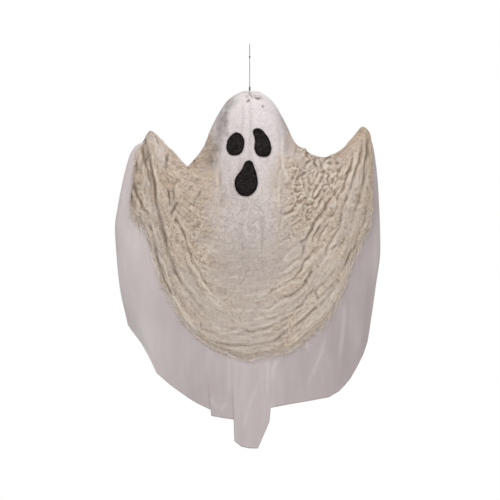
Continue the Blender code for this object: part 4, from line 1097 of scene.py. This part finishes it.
def armLine(side, first, last, count):
    # just under the top edge of the drape, from the dip to the hand
    ring = np.linspace(first, last, count)
    before, here, after = (np.stack(edgePoint(ring + move, side), axis=-1) for move in (-0.01, 0.0, 0.01))
    along = unit(after - before)
    inset = form["sheet"] + 1.6 * form["slip"] + steel["radius"]
    return here + inset * np.stack([along[:, 1], -along[:, 0]], axis=-1)


def handCurl(line, turnBack):
    # most of a circle, a few wire radii wide, at the end of the arm
    along = unit(line[-1] - line[-2])
    curl = steel["curl"] * steel["radius"]
    across = turnBack * np.array([-along[1], along[0]])
    centre = line[-1] + curl * across
    turn = np.linspace(0, 1.62 * pi, 24)[1:, None]
    return np.concatenate([line, centre - curl * across * np.cos(turn) + curl * along * np.sin(turn)])


def bridge(start, before, end):
    # cubic run from an arm to the eye, leaving the arm along its line and reaching the eye level
    span = abs(end[0] - start[0])
    leaving = unit(start - before) * span * 0.9
    arriving = np.array([np.sign(end[0] - start[0]), 0.0, 0.0]) * span * 0.9
    t = np.linspace(0, 1, 18)[1:-1, None]
    return ((2 * t**3 - 3 * t**2 + 1) * start + (t**3 - 2 * t**2 + t) * leaving
            + (3 * t**2 - 2 * t**3) * end + (t**3 - t**2) * arriving)


def upright(line):
    return np.stack([line[:, 0], 0 * line[:, 0], line[:, 1]], axis=-1)


def makeWire():
    radius = steel["radius"]
    eyeZ = -ball["radius"] - 0.4 * form["slip"] - 2.2 * radius
    right = armLine("right", 0.31, 0.455, 20)
    left = armLine("left", 0.285, 0.43, 20) * np.array([-1, 1])
    right, left = upright(handCurl(right, -1)), upright(handCurl(left, 1))[::-1]
    turn = np.linspace(-pi / 2, 1.5 * pi, 41)
    fall = np.linspace(eyeZ + 1.45 * radius, eyeZ - 1.45 * radius, 41)
    eye = np.stack([steel["eye"] * np.cos(turn), steel["eye"] * np.sin(turn), fall], axis=-1)
    path = np.concatenate([left, bridge(left[-1], left[-2], eye[0]), eye,
                           bridge(right[0], right[1], eye[-1])[::-1], right])
    bent = carried(path) + np.array([0, 0, centreZ])
    points, faces, uv = sweep(bent, (0.0, 1.0, 0.0), radius, steel["sides"])
    net = Net("steel")
    place = net.object()
    spangle = net.noise(place, 420, 3, 0.5)
    base = net.mix(spangle, shade(*steel["dark"]), shade(*steel["light"]))
    look = net.surface({"Base Color": base, "Metallic": 1.0, "Roughness": spangle * 0.25 + 0.25})
    return addPiece("arm_wire_steel", points, faces, look, ["arm_wire"], uv)


def carried(path):
    # points spread evenly along the path
    steps = np.concatenate([[0], np.cumsum(np.linalg.norm(np.diff(path, axis=0), axis=-1))])
    even = np.linspace(0, steps[-1], int(steps[-1] / steel["spacing"]))
    return np.stack([np.interp(even, steps, path[:, k]) for k in range(3)], axis=-1)


# Face outlines in pixels of the photograph, clockwise round each patch
felt = {
    "left_eye": ((236.8, 132.4), (240.9, 134.2), (243.6, 138.4), (244.3, 142.4), (243.6, 147.6),
        (241.4, 152.5), (237.8, 155.0), (233.5, 155.5), (229.7, 154.2), (227.0, 150.6), (226.4, 146.0),
        (227.5, 140.4), (230.4, 135.9), (233.7, 133.4)),
    "right_eye": ((257.2, 128.1), (260.8, 129.0), (264.2, 132.0), (267.4, 136.3), (269.6, 140.4),
        (271.1, 145.5), (271.3, 150.1), (270.1, 153.8), (267.4, 156.3), (263.3, 157.0), (259.2, 156.0),
        (256.0, 153.1), (254.4, 148.6), (254.7, 144.5), (255.0, 140.9), (254.2, 136.3), (253.2, 133.3),
        (253.0, 131.0), (254.2, 129.2)),
    "mouth": ((247.8, 160.5), (250.6, 160.8), (252.8, 163.0), (254.0, 166.4), (255.8, 171.0),
        (257.1, 176.6), (257.8, 181.7), (256.8, 187.9), (254.0, 192.3), (250.6, 195.3), (246.0, 196.3),
        (240.9, 195.3), (236.9, 191.8), (235.1, 187.3), (234.5, 182.2), (235.9, 177.1), (238.9, 173.1),
        (241.7, 169.6), (243.3, 165.4), (245.2, 162.2)),
}
feltForm = {"columns": 120, "nearer": 0.055, "under": 0.0034, "thick": 0.0012, "ragged": 0.00025,
            "fuzz": 260, "fuzzLength": 0.0016, "fuzzRadius": 0.00006}
# profile of a patch from its middle over the rim and back: share of the outline and of the thickness
feltRows = ((0.03, 1.0), (0.2, 1.0), (0.35, 1.0), (0.5, 1.0), (0.62, 1.0), (0.74, 1.0), (0.84, 1.0),
            (0.91, 0.98), (0.96, 0.92), (0.985, 0.78), (1.0, 0.5), (0.99, 0.15), (0.97, 0.0), (0.6, 0.0), (0.03, 0.0))


def onFront(place, lift):
    # finds ring and angle of the front surface at given x and z by Newton's steps
    ring = 0.03 + 0.9 * np.clip((centreZ + voileRadius - place[..., 1]) / form["hemDrop"], 0, 1)
    angle = -pi / 2 + np.clip(place[..., 0] / 0.08, -0.8, 0.8)
    step = 1e-4

    def where(ring, angle):
        spot, normal, _ = drapeFrame(ring, angle)
        return (spot + np.asarray(lift)[..., None] * normal)[..., [0, 2]]

    for _ in range(14):
        here = where(ring, angle)
        byRing = (where(ring + step, angle) - here) / step
        byAngle = (where(ring, angle + step) - here) / step
        miss = place - here
        area = byRing[..., 0] * byAngle[..., 1] - byRing[..., 1] * byAngle[..., 0]
        area = np.where(np.abs(area) < 1e-9, 1e-9, area)
        ringStep = (miss[..., 0] * byAngle[..., 1] - miss[..., 1] * byAngle[..., 0]) / area
        angleStep = (byRing[..., 0] * miss[..., 1] - byRing[..., 1] * miss[..., 0]) / area
        ring, angle = ring + np.clip(ringStep, -0.05, 0.05), angle + np.clip(angleStep, -0.3, 0.3)
        ring, angle = np.clip(ring, 0.01, 0.8), np.clip(angle, -pi + 0.2, -0.2)
    spot, normal, _ = drapeFrame(ring, angle)
    return spot + np.asarray(lift)[..., None] * normal, normal


def closedCurve(points, parts):
    # the cubic of smoothRoute, round a closed outline
    nodes = np.array(points, float)
    t = (np.arange(parts) / parts)[:, None]
    a, b, c, d = (np.roll(nodes, -n, axis=0)[:, None] for n in (-1, 0, 1, 2))
    run = 0.5 * (2 * b + (c - a) * t + (2 * a - 5 * b + 4 * c - d) * t**2 + (3 * b - a - 3 * c + d) * t**3)
    return run.reshape(-1, 2)


def makeFeltMaterial():
    net = Net("felt")
    place = net.object()
    fibre = net.noise(place, 900, 4, 0.7, 0.6)
    mottle = net.noise(place, 240, 4, 0.65)
    base = net.mix(mottle.eased(0.35, 0.75), shade(22, 20, 18), shade(58, 52, 51))
    base = net.mix(fibre.eased(0.5, 0.8) * 0.45, base, shade(78, 71, 67))
    base = net.mix(net.mark("rim") * 0.55, base, shade(14, 12, 11))
    return net.surface({"Base Color": base, "Roughness": 1.0, "Specular IOR Level": 0.1,
                        "Normal": net.bump(fibre + mottle, 0.0008)})


def makeFelt(look):
    rims = []
    middleOfView = fromPhoto((photo["side"] / 2, photo["side"] / 2))
    for name, outline in felt.items():
        curve = closedCurve(fromPhoto(outline), feltForm["columns"] // len(outline) + 1)
        curve = middleOfView + (curve - middleOfView) * (1 - feltForm["nearer"] / photo["distance"])
        spots = np.stack([curve[:, 0], curve[:, 1], 0 * curve[:, 0]], -1) * 500
        curve = curve + feltForm["ragged"] * np.stack([cloud(spots, seed) for seed in (70, 71)], axis=-1)
        middle = curve.mean(axis=0)
        share, depth = np.array(feltRows).T
        place = middle + (curve - middle) * share[:, None, None]
        lift = feltForm["under"] + feltForm["thick"] * depth[:, None] + 0 * place[..., 0]
        points, normal = onFront(place, lift)
        points = points + (0.00012 * cloud(points * 600, 72) * depth[:, None])[..., None] * normal
        rows, count = place.shape[:2]
        number = np.arange(rows * count).reshape(rows, count)
        faces = [gridFaces(rows, count, flip=True), number[:1], number[-1:, ::-1]]
        marks = {"rim": ease(share, 0.72, 0.94)[:, None] + 0 * lift}
        addPiece(name + "_felt", points, faces, look, [name], None, marks)
        rims.append((points[9], normal[9], points[9] - points[6]))
    return rims


def hairPaths(roots, first, second, length, bend, seed):
    # short curved hairs: each leaves its root along first and bends towards second
    random = np.random.default_rng(seed)
    count = len(roots)
    t = np.linspace(0, 1, 5)[None, :, None]
    reach = length * random.uniform(0.4, 1.0, (count, 1, 1))
    twist = bend * random.normal(0, 1, (count, 1, 1))
    return roots[:, None] + reach * t * first[:, None] + reach * twist * t**2 * second[:, None]


def makeFuzz(rims, look):
    # loose fibres round the rims of the patches
    random = np.random.default_rng(73)
    parts = []
    for rim, normal, outward in rims:
        pick = random.integers(0, len(rim), feltForm["fuzz"])
        outward = unit(outward)
        side = np.cross(outward, normal)
        mixShare = random.normal(0, 0.9, (len(pick), 1))
        first = unit(outward[pick] + mixShare * side[pick] + 0.35 * normal[pick])
        parts.append(hairPaths(rim[pick], first, side[pick], feltForm["fuzzLength"], 0.5, 74))
    points, faces, uv = sweep(np.concatenate(parts), (0.1, 0.3, 0.9), feltForm["fuzzRadius"], 3)
    return addPiece("felt_fuzz", points, faces, look, [], uv)


stitches = {"radius": 0.00030, "strands": 2, "pitch": 0.0022, "depth": 0.2, "clear": 0.0002, "arch": 0.0003}


def zigzag(ring, angle, ringStep, angleStep, count):
    # points that swing by ringStep while they go on by angleStep
    swing = np.array([0.0, 0.5, 1.0, 0.5])
    k = np.arange(2 * count - 1)
    return np.stack([ring + ringStep * swing[k % 4], angle + angleStep * k / 2], axis=-1)


def makeThreadMaterial(name, low, high):
    net = Net(name)
    base = net.mix(net.noise(net.object(), 900, 3, 0.6), shade(*low), shade(*high))
    return net.surface({"Base Color": base, "Roughness": 0.85})


def makeThreads():
    turns = np.linspace(-2.9, 0.2, 15)
    crown = np.stack([0.026 + 0.007 * (np.arange(15) % 2) + 0.004 * np.sin(3 * turns), turns], axis=-1)
    paths = {"crown_stitches": (crown, 12, 2),
             "left_hand_tack": (zigzag(0.455, -pi + 0.16, 0.008, 0.04, 5), 10, 2),
             "left_neck_tack": (zigzag(0.250, -pi + 0.18, 0.008, 0.03, 5), 10, 2),
             "right_neck_tack": (zigzag(0.236, -0.16, 0.006, -0.08, 4), 10, 2),
             "right_dip_tack": (zigzag(0.330, -0.16, 0.010, -0.08, 4), 10, 2)}
    looks = {"crown_stitches": makeThreadMaterial("thread_worn", (190, 184, 179), (225, 219, 214))}
    dark = makeThreadMaterial("thread", (70, 62, 56), (104, 94, 86))
    for name, (nodes, parts, leg) in paths.items():
        way = smoothRoute(nodes, parts)
        points, normal, _ = gauzeSurface(way[:, 0], way[:, 1])
        phase = np.arange(len(way)) / (parts * leg)
        arch = np.abs(np.sin(pi * phase))
        high = stitches["radius"] + stitches["clear"] * (2 * arch - 1) + stitches["arch"] * arch
        path = blurPath(points + high[:, None] * normal)
        made, faces, uv = sweep(path, (0.2, -0.5, 0.85), stitches["radius"], 8,
                                (stitches["strands"], stitches["pitch"], stitches["depth"]))
        addPiece(name + "_thread", made, faces, looks.get(name, dark), [name], uv)


def blurPath(path, passes=3):
    # each pass gives a point half of itself and a quarter of both neighbours
    for _ in range(passes):
        path = np.concatenate([path[:1], (path[:-2] + 2 * path[1:-1] + path[2:]) / 4, path[-1:]])
    return path


fringe = {"long": 900, "short": 1800, "reach": 0.019, "shortReach": 0.009, "radius": 0.00027, "wefts": 40,
          "stretch": 0.586, "dark": (252, 233, 214), "light": (255, 247, 236)}


def hemThreads(count, reach, seed):
    # threads that hang from the raw edge and lie on the voile, waving a little
    random = np.random.default_rng(seed)
    spread = spreadAngles(3 * count // 4, count - 3 * count // 4)
    angle = spread + random.normal(0, 0.006, count)
    t = np.linspace(0, 1, 6)
    lengths = reach * random.uniform(0.25, 1.0, count)**1.3
    lengths = lengths * (0.35 + 0.65 * ease(np.abs(np.sin(angle)), 0.1, 0.5))
    lengths = lengths * (1 + 1.2 * ease(-np.cos(angle), 0.82, 0.95) * ease(-np.sin(angle), 0.0, 0.1))
    end = gauzeEnd(angle)
    stretch = drapeFrame(end, angle)[2]
    ring = end[:, None] - 0.003 + t * (lengths / stretch)[:, None]
    sway = random.normal(0, 1, (count, 1)) * t**1.5
    sway = sway + 0.4 * random.normal(0, 1, (count, 1)) * np.sin(2.5 * pi * t)
    turned = angle[:, None] + 0.35 * lengths[:, None] / 0.12 * sway
    spot, normal, _ = drapeFrame(ring, turned)
    rest = np.maximum(voileLift(ring, turned, spot, stretch[:, None]) + 0.0005, gauzeLift * (1 - t))
    lift = rest + 0.0014 * np.abs(random.normal(0, 1, (count, 1))) * np.sin(pi * t) + 0.0006 * t
    return spot + lift[..., None] * normal


def hemWefts(count, seed):
    # longer threads that have worked loose along the edge
    random = np.random.default_rng(seed)
    t = np.linspace(0, 1, 26)
    start = random.uniform(-pi + 0.35, -0.35, (count, 1))
    angle = start + random.uniform(0.12, 0.45, (count, 1)) * t
    off = 0.002 + 0.009 * random.uniform(0, 1, (count, 1))**1.5
    swings, phase = random.uniform(1, 4, (count, 1)), random.uniform(0, 1, (count, 1))
    wave = 0.002 * np.sin(2 * pi * (t * swings + phase))
    ring = gauzeEnd(angle) + (off + wave) / fringe["stretch"]
    spot, normal, _ = drapeFrame(ring, angle)
    lift = voileLift(ring, angle, spot, fringe["stretch"]) + 0.0022 + 0.0006 * np.sin(31 * angle)
    return spot + lift[..., None] * normal


def makeFringe():
    radius, across = fringe["radius"], (0.1, 0.2, 0.97)
    groups = [sweep(hemThreads(fringe["long"], fringe["reach"], 80), across, radius, 3),
              sweep(hemThreads(fringe["short"], fringe["shortReach"], 81), across, radius * 1.2, 3),
              sweep(hemWefts(fringe["wefts"], 82), (0.0, 0.9, 0.3), radius, 3)]
    points = np.concatenate([group[0] for group in groups])
    starts = np.cumsum([0] + [len(group[0]) for group in groups[:-1]])
    faces = [block + start for group, start in zip(groups, starts) for block in group[1]]
    net = Net("fringe")
    patches = net.noise(net.object(), 120, 3, 0.6).eased(0.3, 0.7)
    base = net.mix(patches, shade(*fringe["dark"]), shade(*fringe["light"]))
    look = net.surface({"Base Color": base, "Roughness": 0.95, "Specular IOR Level": 0.2})
    uv = np.concatenate([group[2] for group in groups])
    return addPiece("gauze_fringe", points, faces, look, [], uv)


makeBall()
makeWire()
feltLook = makeFeltMaterial()
makeFuzz(makeFelt(feltLook), feltLook)
makeThreads()
gauzeFringe = makeFringe()
print("ball, wire, felt, stitches and fringe made")


# White from whiteFrom to whiteBy metres off the middle; each lamp has a place, a size and its watts
studio = {"floorDrop": 0.95, "floorRadius": 14.0, "floorSides": 96, "grey": (0.82, 0.82, 0.82),
          "white": (1.0, 1.0, 1.0), "whiteFrom": 0.5, "whiteBy": 1.8, "aim": (0.0, 0.0, -0.33),
          "ambient": (0.96, 0.98, 1.0), "ambientStrength": 0.42}
lamps = {"key": ((-0.8, -1.4, 1.6), 0.5, 30), "fill": ((1.7, -1.5, -0.1), 1.2, 12),
         "rim": ((0.3, 1.9, 0.9), 1.2, 14)}


def makeStage():
    # a round floor, plain under the ghost, white to the camera further out and clear from below
    net = Net("floor")
    far = net.node("ShaderNodeVectorMath", {"operation": "LENGTH"}, {0: net.object()}, out="Value")
    camera = net.node("ShaderNodeLightPath", out="Is Camera Ray")
    plain = net.node("ShaderNodeBsdfDiffuse", {}, {"Color": studio["grey"]})
    white = net.node("ShaderNodeEmission", {}, {"Color": studio["white"], "Strength": 1.0})
    share = far.eased(studio["whiteFrom"], studio["whiteBy"]) * camera
    top = net.node("ShaderNodeMixShader", {}, {0: share, 1: plain, 2: white})
    below = net.node("ShaderNodeNewGeometry", out="Backfacing")
    clear = net.node("ShaderNodeBsdfTransparent")
    both = net.node("ShaderNodeMixShader", {}, {0: below, 1: top, 2: clear})
    net.node("ShaderNodeOutputMaterial", {}, {"Surface": both})
    mesh = bpy.data.meshes.new("floor")
    turns = 2 * pi * np.arange(studio["floorSides"]) / studio["floorSides"]
    rim = studio["floorRadius"] * np.stack([np.cos(turns), np.sin(turns), 0 * turns], axis=-1)
    mesh.from_pydata(rim.tolist(), [], [list(range(len(rim)))])
    mesh.materials.append(net.owner)
    floor = bpy.data.objects.new("floor", mesh)
    floor.location = (0, 0, -studio["floorDrop"])
    bpy.context.scene.collection.objects.link(floor)


def makeLight(name, place, size, power):
    light = bpy.data.lights.new(name, "AREA")
    light.shape, light.size, light.energy = "DISK", size, power
    lamp = bpy.data.objects.new(name, light)
    lamp.location = place
    lamp.rotation_euler = (Vector(studio["aim"]) - Vector(place)).to_track_quat("-Z", "Y").to_euler()
    bpy.context.scene.collection.objects.link(lamp)


def makeWorld():
    # white to the camera, to reflections and through clear things, and a softer light on the rest
    net = Net("studio", "worlds")
    rays = ("Is Camera Ray", "Is Glossy Ray", "Is Transmission Ray")
    seen = sum(net.node("ShaderNodeLightPath", out=name) for name in rays)
    glow = {"Color": studio["ambient"], "Strength": studio["ambientStrength"]}
    ambient = net.node("ShaderNodeBackground", {}, glow)
    white = net.node("ShaderNodeBackground", {}, {"Color": studio["white"], "Strength": 1.0})
    both = net.node("ShaderNodeMixShader", {}, {0: seen, 1: ambient, 2: white})
    net.node("ShaderNodeOutputWorld", {}, {"Surface": both})
    bpy.context.scene.world = net.owner


makeStage()
for name, (place, size, power) in lamps.items():
    makeLight(name, place, size, power)
makeWorld()
bpy.context.scene.view_settings.view_transform = "Standard"
print("scene finished")
